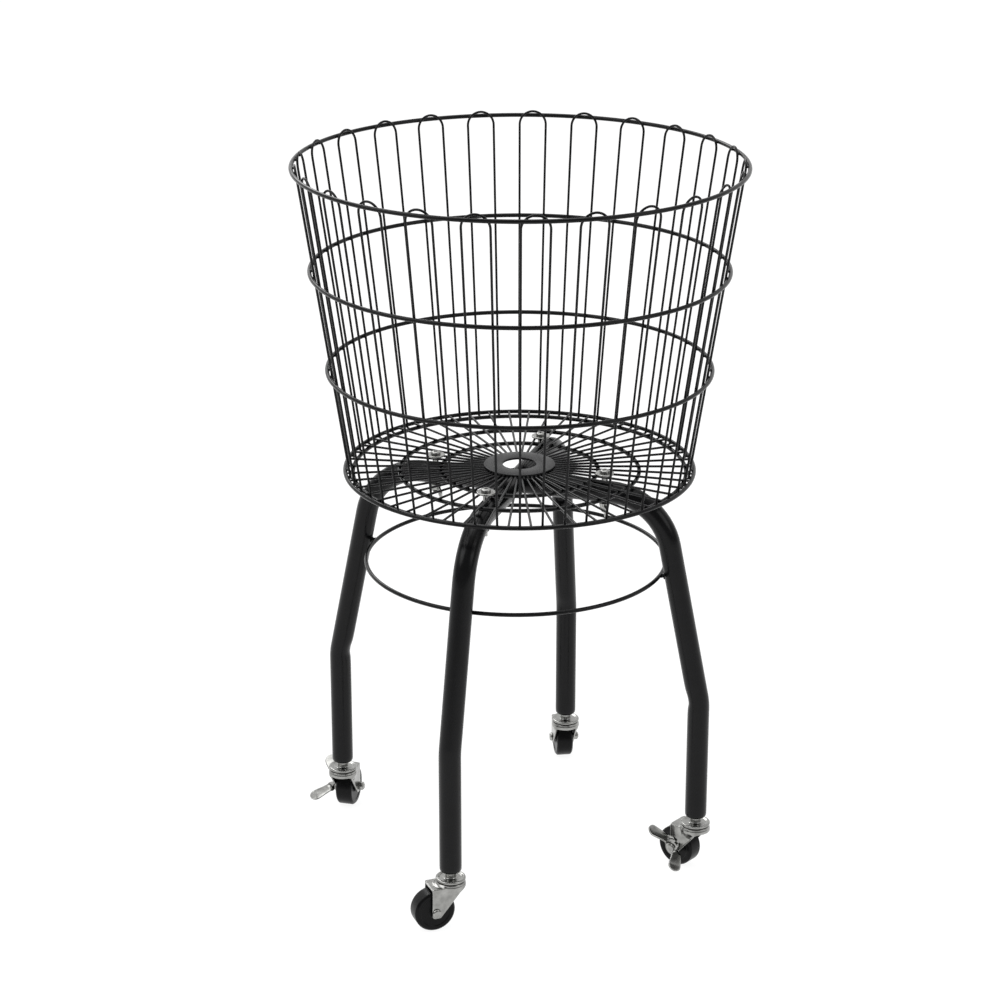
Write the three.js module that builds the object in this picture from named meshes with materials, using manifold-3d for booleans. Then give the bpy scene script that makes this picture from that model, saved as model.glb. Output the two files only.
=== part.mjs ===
// A wire dump bin: an open basket of bent wires on a four-legged tube stand with swivel casters.
// Millimetres, +Z up. The origin is on the floor, under the axis of the basket.

import * as THREE from 'three';
import { mergeVertices } from 'three/addons/utils/BufferGeometryUtils.js';
import Module from 'manifold-3d';

const wasm = await Module();
wasm.setup();

// Basket wall
const RIM_RADIUS = 210; // centre line of the rim's wire
const BASE_RADIUS = 166; // centre line of the base ring's wire
const FLOOR_HEIGHT = 395.5; // centre line of the base ring above the ground
const BASKET_DEPTH = 294; // from the base ring up to the rim
const LOWER_RING_RISE = 100; // from the base ring up to the lower ring
const UPPER_RING_RISE = 196; // from the base ring up to the upper ring
const RING_WIRE = 4;
const WALL_WIRE = 2.3;
const HAIRPIN_COUNT = 25;
const HAIRPIN_RISE = 4.5; // top of the arch's centre line above the rim's centre line
const WELD_GAP = 0.4; // clear gap between pieces that are welded to each other

// Basket floor, one welded panel
const FLOOR_DROP = 2.6; // floor rings' centre line below the base ring's
const DISC_RADIUS = 34;
const DISC_HOLE_RADIUS = 16;
const DISC_THICKNESS = 2;
const SPOKE_LAP = 10; // length of each spoke under the disc
const WELD_SINK = 0.25; // how deep a spoke is sunk into the ring or disc that it is welded to

// Bolts that hold the basket on the stand
const BOLT_CIRCLE = 84.7; // radius about the basket's axis
const INNER_RING_INSET = 9.7; // inner floor ring inside the bolt circle
const OUTER_RING_OUTSET = 29.3; // outer floor ring outside the bolt circle
const BOLT_DIAMETER = 6;
const BOLT_HEAD_DIAMETER = 9.5;
const BOLT_HEAD_HEIGHT = 3;
const BOLT_TAIL = 4; // thread showing below the nut
const WASHER_DIAMETER = 18;
const WASHER_THICKNESS = 1.6;
const NUT_HUB_DIAMETER = 11;
const NUT_HUB_HEIGHT = 6;
const NUT_WING_REACH = 12.5; // from the bolt's axis to the tip of a wing
const NUT_WING_DROP = 5; // tip of a wing below the hub
const NUT_WING_THICKNESS = 2.2;
const SEAT_GAP = 0.3; // between clamped faces
const BORE_CLEARANCE = 0.4; // between a pin and the hole around it

// Tube stand
const TUBE_DIAMETER = 21;
const TUBE_WALL = 1.2;
const STAND_SHIFT = 3.4; // stand's axis from the basket's axis, towards the left leg
const LEG_SPREAD = 186; // from the stand's axis to the foot of a leg
const KINK_HEIGHT = 177; // where a leg turns upright
const SHOULDER_OUTSET = 58.7; // where the straight lines of a leg's shoulder meet, outside the bolt circle
const KINK_BEND = 60; // bend radii of the tube's centre line
const SHOULDER_BEND = 60;
const LEG_RING_DROP = 78; // leg ring below the tubes under the floor
const LEG_RING_STUB = 2.7; // clear length of the stub between the ring and a leg

// Casters
const WHEEL_DIAMETER = 40;
const WHEEL_WIDTH = 17;
const WHEEL_SHOULDER = 1.8; // bevel at the edge of the tread
const AXLE_DIAMETER = 6;
const AXLE_HEAD_DIAMETER = 9;
const AXLE_HEAD_HEIGHT = 2.2;
const AXLE_NUT_WIDTH = 8; // across flats
const AXLE_NUT_HEIGHT = 4;
const TRAIL = 18.2; // from the stem's axis back to the axle
const WHEEL_CLEARANCE = 2.6; // tread to the fork's bridge
const SIDE_CLEARANCE = 1; // wheel to the fork's cheeks
const FORK_SHEET = 2;
const FORK_BACK = 4.2; // cheek behind the axle
const FORK_END = 6; // cheek below the axle
const FORK_NOSE = 9; // front of the cheek's top, ahead of the stem's axis
const FORK_DISC_RADIUS = 14.5;
const FORK_SKIRT = 1.3; // rim turned down round the front of the fork's disc
const RACE_INSET = 0.5; // raised race inside the fork's disc
const RACE_HEIGHT = 2.2;
const RACE_GAP = 1.1; // swivel gap under the cap
const CAP_RADIUS = 14.3;
const CAP_RIM = 2.4; // height of the cap's rim
const CAP_LIP = 2.2; // width of the cap's rim
const CAP_DISH = 0.9; // depth of the dish inside the rim
const NECK_DIAMETER = 10;
const NECK_HEIGHT = 5.5; // from the cap's rim to the end of the tube
const SLEEVE_LENGTH = 28; // gripping sleeve inside the tube
const KINGPIN_DIAMETER = 7;
const KINGPIN_HEAD_DIAMETER = 10;
const KINGPIN_HEAD_HEIGHT = 1.2;

// Brake lever, outside the fork's left cheek
const LEVER_SHEET = 1.6;
const LEVER_HUB_RADIUS = 7.5;
const WING_START = 5.4; // inner end of a wing on the hub, from the axle's axis
const WING_NECK = 5.5; // how far a wing stands out of the hub at that end
const WING_LENGTH = 25.3; // centre of a wing's round tip, from the axle's axis
const WING_TIP = 6.2; // radius of the tip
const WING_WRAP = 105; // half angle of the tip's arc
const LEVER_ROCK = 40; // turn of a lever from level to pressed

// Wings of a level lever: angle up from straight back, and flare away from the cheek
const WINGS = [{ angle: 10, flare: 25 }, { angle: 166, flare: 44 }];

// Legs: direction, side that the bolt of a butted tube is set off to, turn of the wing nut, how far the foot
// stands aside in millimetres, direction that the wheel trails in, and rock of the lever
const LEGS = {
  front: { azimuth: 225, butt: -1, nut: 20, sway: -3.5, trail: 174.4 },
  right: { azimuth: 315, butt: 0, nut: -68, sway: -4, trail: 112.8, rock: LEVER_ROCK },
  back: { azimuth: 45, butt: 1, nut: 50, sway: 4.6, trail: 71 },
  left: { azimuth: 135, butt: 0, nut: -45, sway: -4, trail: 48.8, rock: LEVER_ROCK },
};

// Facets
const WIRE_SIDES = 6;
const TUBE_SIDES = 10;
const RING_STEPS = 60;
const ARCH_STEPS = 6;
const BEND_STEP = THREE.MathUtils.degToRad(20); // largest turn between two rings of a bent tube
const ROUND_STEPS = 12;
const DISC_STEPS = 18;
const WHEEL_STEPS = 24;
const CURVE_STEPS = 4;

// Sizes that follow from the ones above
const spokeCount = 2 * HAIRPIN_COUNT;
const halfPitch = Math.PI / spokeCount; // half the angle between neighbouring wall wires
const coneSlope = (RIM_RADIUS - BASE_RADIUS) / BASKET_DEPTH;
const coneCosine = 1 / Math.hypot(1, coneSlope);
const rimHeight = FLOOR_HEIGHT + BASKET_DEPTH;
const floorRingHeight = FLOOR_HEIGHT - FLOOR_DROP;
const spokeHeight = floorRingHeight + (RING_WIRE + WALL_WIRE) / 2 - WELD_SINK;
const spokeTop = spokeHeight + WALL_WIRE / 2;
const tubeRadius = TUBE_DIAMETER / 2;
const tubeHeight = floorRingHeight - RING_WIRE / 2 - WELD_GAP - tubeRadius;
const shoulderReach = BOLT_CIRCLE + SHOULDER_OUTSET;
const splay = Math.atan((LEG_SPREAD - shoulderReach) / (tubeHeight - KINK_HEIGHT)); // of a leg above its kink
const legRingHeight = tubeHeight - LEG_RING_DROP;
const boltAside = BOLT_CIRCLE * Math.sin(halfPitch) - STAND_SHIFT; // between two spokes, on a butted tube
const axleHeight = WHEEL_DIAMETER / 2 * Math.cos(Math.PI / WHEEL_STEPS); // the wheel rests on a facet
const bridgeHeight = axleHeight + WHEEL_DIAMETER / 2 + WHEEL_CLEARANCE;
const raceHeight = bridgeHeight + FORK_SHEET + RACE_HEIGHT;
const capHeight = raceHeight + RACE_GAP;
const capTop = capHeight + CAP_RIM;
const tubeEnd = capTop + NECK_HEIGHT;
const cheekInside = WHEEL_WIDTH / 2 + SIDE_CLEARANCE;
const cheekOutside = cheekInside + FORK_SHEET;
const leverInside = cheekOutside + SEAT_GAP;

// Materials
const FINISHES = {
  blackCoat: { color: 0x1b1c1f, roughness: 0.42, metalness: 0.2 },
  zinc: { color: 0xb5b2aa, roughness: 0.34, metalness: 0.9 },
  wheelPlastic: { color: 0x151517, roughness: 0.5, metalness: 0 },
};

// Makes a geometry one closed mesh of shared points, with its faces pointing out.
function closeMesh(geometry) {
  const bare = geometry.clone();
  bare.deleteAttribute('normal');
  bare.deleteAttribute('uv');
  const merged = mergeVertices(bare, 1e-4);
  const source = merged.index.array;
  const corner = [0, 1, 2].map(() => new THREE.Vector3());
  const kept = [];
  let volume = 0;
  for (let i = 0; i < source.length; i += 3) {
    const [a, b, c] = source.slice(i, i + 3);
    if (a === b || b === c || c === a) continue;
    kept.push(a, b, c);
    [a, b, c].forEach((index, k) => corner[k].fromBufferAttribute(merged.attributes.position, index));
    volume += corner[0].dot(corner[1].clone().cross(corner[2]));
  }
  merged.setIndex(volume < 0 ? kept.reverse() : kept);
  return merged;
}

function toSolid(geometry) {
  const closed = closeMesh(geometry);
  return new wasm.Manifold(new wasm.Mesh({
    numProp: 3,
    vertProperties: new Float32Array(closed.attributes.position.array),
    triVerts: new Uint32Array(closed.index.array),
  }));
}

function toGeometry(solid) {
  const mesh = solid.getMesh();
  const geometry = new THREE.BufferGeometry();
  geometry.setAttribute('position', new THREE.BufferAttribute(mesh.vertProperties, 3));
  geometry.setIndex(new THREE.BufferAttribute(mesh.triVerts, 1));
  return geometry;
}

function join(geometries) {
  return geometries.map(toSolid).reduce((sum, next) => sum.add(next));
}

function cut(solid, geometries) {
  return geometries.map(toSolid).reduce((rest, tool) => rest.subtract(tool), solid);
}

function polygon(sides, radius, turn = 0) {
  const points = [];
  for (let i = 0; i < sides; i += 1) {
    const angle = turn + 2 * Math.PI * i / sides;
    points.push(new THREE.Vector2(radius * Math.cos(angle), radius * Math.sin(angle)));
  }
  return points;
}

// A path through given points, with its sections square to the mean of the two stretches that meet.
class PointPath extends THREE.Curve {
  constructor(points) {
    super();
    this.points = points;
  }

  getPoint(t, target = new THREE.Vector3()) {
    const last = this.points.length - 1;
    const i = Math.min(Math.floor(t * last + 1e-6), last - 1);
    return target.lerpVectors(this.points[i], this.points[i + 1], t * last - i);
  }

  getPointAt(u, target) {
    return this.getPoint(u, target);
  }

  getTangentAt(u, target = new THREE.Vector3()) {
    const last = this.points.length - 1;
    const i = Math.round(u * last);
    const stretch = (k) => new THREE.Vector3().subVectors(this.points[k + 1], this.points[k]).normalize();
    target.copy(stretch(Math.min(i, last - 1)));
    return target.add(stretch(Math.max(i - 1, 0))).normalize();
  }
}

function sweep(section, points) {
  const steps = points.length - 1;
  const extrudePath = new PointPath(points);
  return new THREE.ExtrudeGeometry(section, { steps, bevelEnabled: false, extrudePath });
}

// Rounds the inner corners of a path with arcs of the given radii.
function bendPath(corners, radii) {
  const points = [corners[0]];
  for (let i = 1; i < corners.length - 1; i += 1) {
    const into = new THREE.Vector3().subVectors(corners[i], corners[i - 1]).normalize();
    const out = new THREE.Vector3().subVectors(corners[i + 1], corners[i]).normalize();
    const turn = into.angleTo(out);
    const radius = radii[i - 1];
    const tangent = radius * Math.tan(turn / 2);
    const side = out.clone().addScaledVector(into, -out.dot(into)).normalize();
    const start = corners[i].clone().addScaledVector(into, -tangent);
    const steps = Math.max(2, Math.ceil(turn / BEND_STEP));
    for (let k = 0; k <= steps; k += 1) {
      const angle = turn * k / steps;
      const point = start.clone().addScaledVector(into, radius * Math.sin(angle));
      points.push(point.addScaledVector(side, radius * (1 - Math.cos(angle))));
    }
  }
  points.push(corners[corners.length - 1]);
  return points;
}

// A sheet of the given thickness, from Z = 0 up.
function plate(outline, depth, curveSegments = CURVE_STEPS) {
  return new THREE.ExtrudeGeometry(outline, { depth, bevelEnabled: false, curveSegments });
}

// A turned piece about Z from a profile of [radius, height] pairs.
function turned(profile, steps = ROUND_STEPS) {
  const points = profile.map(([radius, height]) => new THREE.Vector2(radius, height));
  return new THREE.LatheGeometry(points, steps).rotateX(Math.PI / 2);
}

function rod(radius, low, high, steps = ROUND_STEPS) {
  return turned([[0, low], [radius, low], [radius, high], [0, high]], steps);
}

function wireRing(radius, height) {
  return new THREE.TorusGeometry(radius, RING_WIRE / 2, WIRE_SIDES, RING_STEPS).translate(0, 0, height);
}

// A ring of the floor, whose six-sided wire has an edge on top for the spokes to sit on.
function floorRing(radius) {
  const section = polygon(WIRE_SIDES, RING_WIRE / 2, Math.PI / 2);
  const profile = [...section, section[0]].map(({ x, y }) => [radius + x, floorRingHeight + y]);
  return turned(profile, spokeCount).rotateZ(radians(LEGS.left.azimuth));
}

function material(finish) {
  return new THREE.MeshStandardMaterial(FINISHES[finish]);
}

function addPiece(parent, name, geometry, finish) {
  const mesh = new THREE.Mesh(closeMesh(geometry), material(finish));
  mesh.name = name;
  parent.add(mesh);
  return mesh;
}

const radians = THREE.MathUtils.degToRad;

// Basket wall
function ringRadius(height) {
  return BASE_RADIUS + coneSlope * (height - FLOOR_HEIGHT);
}

function wallRadius(height) {
  return ringRadius(height) - ((RING_WIRE + WALL_WIRE) / 2 + WELD_GAP) / coneCosine;
}

// One hairpin about the X axis: up a wall wire, over the arch and down the next wall wire.
function hairpin() {
  const top = rimHeight + HAIRPIN_RISE;
  const lean = Math.atan(coneSlope * Math.cos(halfPitch));
  const arch = wallRadius(top) * Math.sin(halfPitch) / (1 + coneSlope * Math.cos(lean) * Math.sin(halfPitch));
  const spring = top - arch * Math.cos(lean);
  const foot = FLOOR_HEIGHT - RING_WIRE / 2;
  const wallPoint = (height, side) => new THREE.Vector3(
    wallRadius(height) * Math.cos(halfPitch),
    side * wallRadius(height) * Math.sin(halfPitch),
    height,
  );
  const points = [wallPoint(foot, -1)];
  for (let i = 0; i <= ARCH_STEPS; i += 1) {
    const angle = Math.PI * i / ARCH_STEPS;
    const rise = arch * Math.sin(angle);
    const x = wallRadius(spring) * Math.cos(halfPitch) + rise * Math.sin(lean);
    points.push(new THREE.Vector3(x, -arch * Math.cos(angle), spring + rise * Math.cos(lean)));
  }
  points.push(wallPoint(foot, 1));
  return sweep(new THREE.Shape(polygon(WIRE_SIDES, WALL_WIRE / 2)), points);
}

// Basket floor: spokes halfway between the wall wires, on three rings and under a disc
function floorPanel() {
  const edgeRadius = wallRadius(floorRingHeight) - WALL_WIRE / 2 - WELD_GAP - RING_WIRE / 2;
  const rings = [edgeRadius, BOLT_CIRCLE + OUTER_RING_OUTSET, BOLT_CIRCLE - INNER_RING_INSET];
  const pieces = rings.map(floorRing);
  const spokeStart = DISC_RADIUS - SPOKE_LAP;
  const spokeEnd = (BASE_RADIUS - RING_WIRE / 2) * Math.cos(Math.PI / RING_STEPS) - WELD_GAP;
  const spoke = rod(WALL_WIRE / 2, spokeStart, spokeEnd, WIRE_SIDES);
  spoke.rotateZ(Math.PI / 2).rotateY(Math.PI / 2);
  for (let i = 0; i < spokeCount; i += 1) {
    const azimuth = radians(LEGS.left.azimuth) + halfPitch * (2 * i + 1);
    pieces.push(spoke.clone().rotateZ(azimuth).translate(0, 0, spokeHeight));
  }
  const discFloor = spokeTop - WELD_SINK;
  pieces.push(turned([
    [DISC_HOLE_RADIUS, discFloor],
    [DISC_RADIUS, discFloor],
    [DISC_RADIUS, discFloor + DISC_THICKNESS],
    [DISC_HOLE_RADIUS, discFloor + DISC_THICKNESS],
    [DISC_HOLE_RADIUS, discFloor],
  ], DISC_STEPS));
  return toGeometry(join(pieces));
}

// Tube stand
function tubeSection() {
  const section = new THREE.Shape(polygon(TUBE_SIDES, tubeRadius));
  section.holes.push(new THREE.Path(polygon(TUBE_SIDES, tubeRadius - TUBE_WALL)));
  return section;
}

function legAxis(height) {
  return LEG_SPREAD - (height - KINK_HEIGHT) * Math.tan(splay);
}

// A leg seen from the stand's axis, with its tube along X or, where side is -1, along -X.
function legCorners(leg, side = 1) {
  return [
    new THREE.Vector3(side * LEG_SPREAD, side * leg.sway, tubeEnd),
    new THREE.Vector3(side * LEG_SPREAD, side * leg.sway, KINK_HEIGHT),
    new THREE.Vector3(side * shoulderReach, 0, tubeHeight),
  ];
}

// How far aside a leg is at a given height.
function swayAt(leg, height) {
  return leg.sway * (tubeHeight - height) / (tubeHeight - KINK_HEIGHT);
}

function boltHole(x, y = 0) {
  const radius = BOLT_DIAMETER / 2 + BORE_CLEARANCE;
  return rod(radius, tubeHeight - TUBE_DIAMETER, tubeHeight + TUBE_DIAMETER).translate(x, y, 0);
}

function crossLeg() {
  const corners = [...legCorners(LEGS.left), ...legCorners(LEGS.right, -1).reverse()];
  const path = bendPath(corners, [KINK_BEND, SHOULDER_BEND, SHOULDER_BEND, KINK_BEND]);
  const tube = toSolid(sweep(tubeSection(), path));
  const holes = [boltHole(BOLT_CIRCLE - STAND_SHIFT), boltHole(-BOLT_CIRCLE - STAND_SHIFT)];
  return toGeometry(cut(tube, holes));
}

// A leg whose upper end is cut hollow to fit against the side of the crossing tube.
function buttedLeg(leg) {
  const corners = [...legCorners(leg), new THREE.Vector3(0, 0, tubeHeight)];
  const tube = toSolid(sweep(tubeSection(), bendPath(corners, [KINK_BEND, SHOULDER_BEND])));
  const reach = TUBE_DIAMETER;
  const mouth = rod(tubeRadius + WELD_GAP, -reach, reach, 2 * TUBE_SIDES).rotateX(Math.PI / 2);
  mouth.translate(0, 0, tubeHeight);
  const hole = boltHole(BOLT_CIRCLE * Math.cos(halfPitch), leg.butt * boltAside);
  return toGeometry(cut(tube, [mouth, hole]));
}

function legRing() {
  const legFace = legAxis(legRingHeight) - tubeRadius / Math.cos(splay);
  const radius = legFace - LEG_RING_STUB - RING_WIRE / 2;
  const stubEnd = legFace - WELD_GAP - RING_WIRE / 2 * Math.tan(splay);
  const pieces = [wireRing(radius, legRingHeight)];
  for (const leg of Object.values(LEGS)) {
    const stub = rod(RING_WIRE / 2, radius, stubEnd, WIRE_SIDES).rotateY(Math.PI / 2);
    stub.translate(0, swayAt(leg, legRingHeight), legRingHeight);
    pieces.push(stub.rotateZ(radians(leg.azimuth)));
  }
  return toGeometry(join(pieces));
}

// Bolts, with their washers, and wing nuts
const washerFloor = spokeTop + SEAT_GAP;
const nutTop = tubeHeight - tubeRadius - SEAT_GAP;

function floorBolt() {
  const washerTop = washerFloor + WASHER_THICKNESS;
  const headTop = washerTop + BOLT_HEAD_HEIGHT;
  return turned([
    [0, nutTop - NUT_HUB_HEIGHT - BOLT_TAIL],
    [BOLT_DIAMETER / 2, nutTop - NUT_HUB_HEIGHT - BOLT_TAIL],
    [BOLT_DIAMETER / 2, washerFloor],
    [WASHER_DIAMETER / 2, washerFloor],
    [WASHER_DIAMETER / 2, washerTop],
    [BOLT_HEAD_DIAMETER / 2, washerTop],
    [BOLT_HEAD_DIAMETER / 2, washerTop + BOLT_HEAD_HEIGHT / 2],
    [BOLT_HEAD_DIAMETER / 3, headTop],
    [0, headTop],
  ]);
}

function wingNut() {
  const hubRadius = NUT_HUB_DIAMETER / 2;
  const nutFloor = nutTop - NUT_HUB_HEIGHT;
  const bore = BOLT_DIAMETER / 2 + BORE_CLEARANCE;
  const outline = new THREE.Shape();
  outline.moveTo(bore, nutTop - NUT_HUB_HEIGHT / 3);
  outline.lineTo(hubRadius, nutTop - NUT_HUB_HEIGHT / 3);
  const tip = nutFloor - NUT_WING_DROP;
  outline.quadraticCurveTo(NUT_WING_REACH, nutTop - NUT_HUB_HEIGHT / 2, NUT_WING_REACH, (nutFloor + tip) / 2);
  outline.quadraticCurveTo(NUT_WING_REACH, tip, hubRadius, nutFloor);
  outline.lineTo(bore, nutFloor);
  const wing = plate(outline, NUT_WING_THICKNESS);
  wing.translate(0, 0, -NUT_WING_THICKNESS / 2).rotateX(Math.PI / 2);
  const hub = rod(hubRadius, nutFloor, nutTop);
  const body = join([hub, wing, wing.clone().rotateZ(Math.PI)]);
  return toGeometry(cut(body, [rod(bore, nutFloor - NUT_WING_DROP, nutTop + 1)]));
}

// Casters, about the stem's axis, with the wheel trailing towards +X and the left side at +Y
function casterStem() {
  const sleeveRadius = tubeRadius - TUBE_WALL - SEAT_GAP;
  const headTop = bridgeHeight - SEAT_GAP;
  return turned([
    [0, headTop - KINGPIN_HEAD_HEIGHT],
    [KINGPIN_HEAD_DIAMETER / 2, headTop - KINGPIN_HEAD_HEIGHT],
    [KINGPIN_HEAD_DIAMETER / 2, headTop],
    [KINGPIN_DIAMETER / 2, headTop],
    [KINGPIN_DIAMETER / 2, capHeight],
    [CAP_RADIUS, capHeight],
    [CAP_RADIUS, capTop],
    [CAP_RADIUS - CAP_LIP, capTop],
    [NECK_DIAMETER / 2, capTop - CAP_DISH],
    [NECK_DIAMETER / 2, tubeEnd],
    [sleeveRadius * Math.cos(Math.PI / TUBE_SIDES), tubeEnd],
    [sleeveRadius * Math.cos(Math.PI / TUBE_SIDES), tubeEnd + SLEEVE_LENGTH],
    [0, tubeEnd + SLEEVE_LENGTH],
  ]);
}

function fork() {
  const shelf = new THREE.Shape();
  const shelfEnd = TRAIL + FORK_BACK;
  shelf.moveTo(0, -cheekOutside);
  shelf.lineTo(shelfEnd, -cheekOutside);
  shelf.lineTo(shelfEnd, cheekOutside);
  shelf.lineTo(0, cheekOutside);
  const bridge = plate(shelf, FORK_SHEET).translate(0, 0, bridgeHeight);

  const discTop = bridgeHeight + FORK_SHEET;
  const race = FORK_DISC_RADIUS - RACE_INSET;
  const disc = turned([
    [0, bridgeHeight],
    [FORK_DISC_RADIUS, bridgeHeight],
    [FORK_DISC_RADIUS, discTop],
    [race, discTop],
    [race, raceHeight],
    [0, raceHeight],
  ], DISC_STEPS);

  const rim = new THREE.Shape();
  rim.absarc(0, 0, FORK_DISC_RADIUS, Math.PI / 2, 3 * Math.PI / 2);
  rim.absarc(0, 0, FORK_DISC_RADIUS - FORK_SHEET, 3 * Math.PI / 2, Math.PI / 2, true);
  const skirt = plate(rim, FORK_SKIRT + FORK_SHEET / 2, 2 * CURVE_STEPS);
  skirt.translate(0, 0, bridgeHeight - FORK_SKIRT);

  const outline = new THREE.Shape();
  outline.moveTo(shelfEnd, bridgeHeight + FORK_SHEET);
  outline.lineTo(-FORK_NOSE, bridgeHeight + FORK_SHEET);
  outline.lineTo(-FORK_NOSE, bridgeHeight - FORK_SKIRT);
  outline.lineTo(TRAIL - FORK_BACK, axleHeight - FORK_END + FORK_BACK / 2);
  outline.quadraticCurveTo(TRAIL - FORK_BACK / 2, axleHeight - FORK_END, TRAIL, axleHeight - FORK_END);
  outline.quadraticCurveTo(shelfEnd, axleHeight - FORK_END, shelfEnd, axleHeight - FORK_END + FORK_BACK);
  const cheek = plate(outline, FORK_SHEET).rotateX(Math.PI / 2);
  const left = cheek.clone().translate(0, cheekOutside, 0);
  const right = cheek.clone().translate(0, -cheekInside, 0);

  const pinHole = rod(KINGPIN_DIAMETER / 2 + BORE_CLEARANCE, bridgeHeight - 1, raceHeight + 1);
  const axleHole = rod(AXLE_DIAMETER / 2 + BORE_CLEARANCE, -2 * cheekOutside, 2 * cheekOutside);
  axleHole.rotateX(-Math.PI / 2).translate(TRAIL, 0, axleHeight);
  return toGeometry(cut(join([bridge, disc, skirt, left, right]), [pinHole, axleHole]));
}

// Wheel, axle and lever are turned or drawn about Z and then laid along the axle, with +Z to the left.
function layOnAxle(geometry) {
  return geometry.rotateX(-Math.PI / 2).translate(TRAIL, 0, axleHeight);
}

function wheel() {
  const bore = AXLE_DIAMETER / 2 + BORE_CLEARANCE;
  const radius = WHEEL_DIAMETER / 2;
  const half = WHEEL_WIDTH / 2;
  const profile = [
    [bore, -half],
    [radius - WHEEL_SHOULDER, -half],
    [radius, -half + WHEEL_SHOULDER],
    [radius, half - WHEEL_SHOULDER],
    [radius - WHEEL_SHOULDER, half],
    [bore, half],
    [bore, -half],
  ];
  return layOnAxle(turned(profile, WHEEL_STEPS).rotateZ(Math.PI / WHEEL_STEPS));
}

function axle(hasLever) {
  const shank = AXLE_DIAMETER / 2;
  const head = AXLE_HEAD_DIAMETER / 2;
  const nutFace = -cheekOutside - SEAT_GAP;
  const headFace = hasLever ? leverInside + LEVER_SHEET + SEAT_GAP : leverInside;
  const pin = turned([
    [0, nutFace - AXLE_NUT_HEIGHT / 2],
    [shank, nutFace - AXLE_NUT_HEIGHT / 2],
    [shank, headFace],
    [head, headFace],
    [head, headFace + AXLE_HEAD_HEIGHT / 2],
    [head / 2, headFace + AXLE_HEAD_HEIGHT],
    [0, headFace + AXLE_HEAD_HEIGHT],
  ]);
  const nutRadius = AXLE_NUT_WIDTH / 2 / Math.cos(Math.PI / 6);
  const nut = rod(nutRadius, nutFace - AXLE_NUT_HEIGHT, nutFace, 6);
  return layOnAxle(toGeometry(join([pin, nut])));
}

// A lever's hub lies on the cheek, and its wings stand across it.
function brakeLever(rock) {
  const pieces = [rod(LEVER_HUB_RADIUS, -LEVER_SHEET / 2, LEVER_SHEET / 2)];
  for (const { angle, flare } of WINGS) {
    const slope = radians(flare);
    const wrap = radians(WING_WRAP);
    const tip = [WING_LENGTH * Math.cos(slope), WING_LENGTH * Math.sin(slope)];
    const outline = new THREE.Shape();
    outline.moveTo(WING_START, -LEVER_SHEET / 4);
    outline.lineTo(LEVER_HUB_RADIUS, -LEVER_SHEET / 4);
    outline.absarc(...tip, WING_TIP, slope - wrap, slope + wrap);
    outline.lineTo(WING_START, WING_NECK);
    const wing = plate(outline, LEVER_SHEET, 2 * CURVE_STEPS).translate(0, 0, -LEVER_SHEET / 2);
    pieces.push(wing.rotateX(Math.PI / 2).rotateZ(-radians(angle + rock)));
  }
  const hole = rod(AXLE_DIAMETER / 2 + BORE_CLEARANCE, -LEVER_SHEET, LEVER_SHEET);
  const lever = toGeometry(cut(join(pieces), [hole])).translate(0, 0, leverInside + LEVER_SHEET / 2);
  return layOnAxle(lever);
}

// Assembly
const bin = new THREE.Group();

addPiece(bin, 'rim_ring', wireRing(RIM_RADIUS, rimHeight), 'blackCoat');
const wallRings = { upper_ring: UPPER_RING_RISE, lower_ring: LOWER_RING_RISE, base_ring: 0 };
for (const [name, rise] of Object.entries(wallRings)) {
  const height = FLOOR_HEIGHT + rise;
  addPiece(bin, name, wireRing(ringRadius(height), height), 'blackCoat');
}
for (let i = 0; i < HAIRPIN_COUNT; i += 1) {
  const piece = addPiece(bin, `hairpin_${String(i + 1).padStart(2, '0')}`, hairpin(), 'blackCoat');
  piece.rotation.z = radians(LEGS.left.azimuth) + halfPitch * (4 * i - 1);
}
addPiece(bin, 'floor_panel', floorPanel(), 'blackCoat');

// Each leg has a group with its tube along X.
const leftAzimuth = radians(LEGS.left.azimuth);
const stand = new THREE.Group();
stand.position.set(STAND_SHIFT * Math.cos(leftAzimuth), STAND_SHIFT * Math.sin(leftAzimuth), 0);
bin.add(stand);
addPiece(stand, 'leg_tube_left_right', crossLeg(), 'blackCoat').rotation.z = leftAzimuth;
addPiece(stand, 'leg_ring', legRing(), 'blackCoat');

for (const [side, leg] of Object.entries(LEGS)) {
  const azimuth = radians(leg.azimuth);
  const group = new THREE.Group();
  group.rotation.z = azimuth;
  stand.add(group);
  if (leg.butt) addPiece(group, `leg_tube_${side}`, buttedLeg(leg), 'blackCoat');

  const fixing = new THREE.Group();
  const shiftAlong = STAND_SHIFT * Math.cos(azimuth - leftAzimuth);
  const boltReach = leg.butt ? BOLT_CIRCLE * Math.cos(halfPitch) : BOLT_CIRCLE;
  fixing.position.set(boltReach - shiftAlong, leg.butt * boltAside, 0);
  group.add(fixing);
  addPiece(fixing, `floor_bolt_${side}`, floorBolt(), 'zinc');
  addPiece(fixing, `wing_nut_${side}`, wingNut(), 'zinc').rotation.z = radians(leg.nut);

  const foot = new THREE.Group();
  foot.position.set(LEG_SPREAD, leg.sway, 0);
  foot.rotation.z = radians(leg.trail) - azimuth;
  group.add(foot);
  const hasLever = leg.rock !== undefined;
  addPiece(foot, `caster_stem_${side}`, casterStem(), 'zinc');
  addPiece(foot, `caster_fork_${side}`, fork(), 'zinc');
  addPiece(foot, `caster_wheel_${side}`, wheel(), 'wheelPlastic');
  addPiece(foot, `caster_axle_${side}`, axle(hasLever), 'zinc');
  if (hasLever) addPiece(foot, `brake_lever_${side}`, brakeLever(leg.rock), 'zinc');
}

export default bin;
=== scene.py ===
from collections import namedtuple
from math import acos, asin, atan, copysign, cos, hypot, pi, radians, sin, sqrt, tan

import bmesh
import bpy
from mathutils import Matrix, Vector


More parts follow.
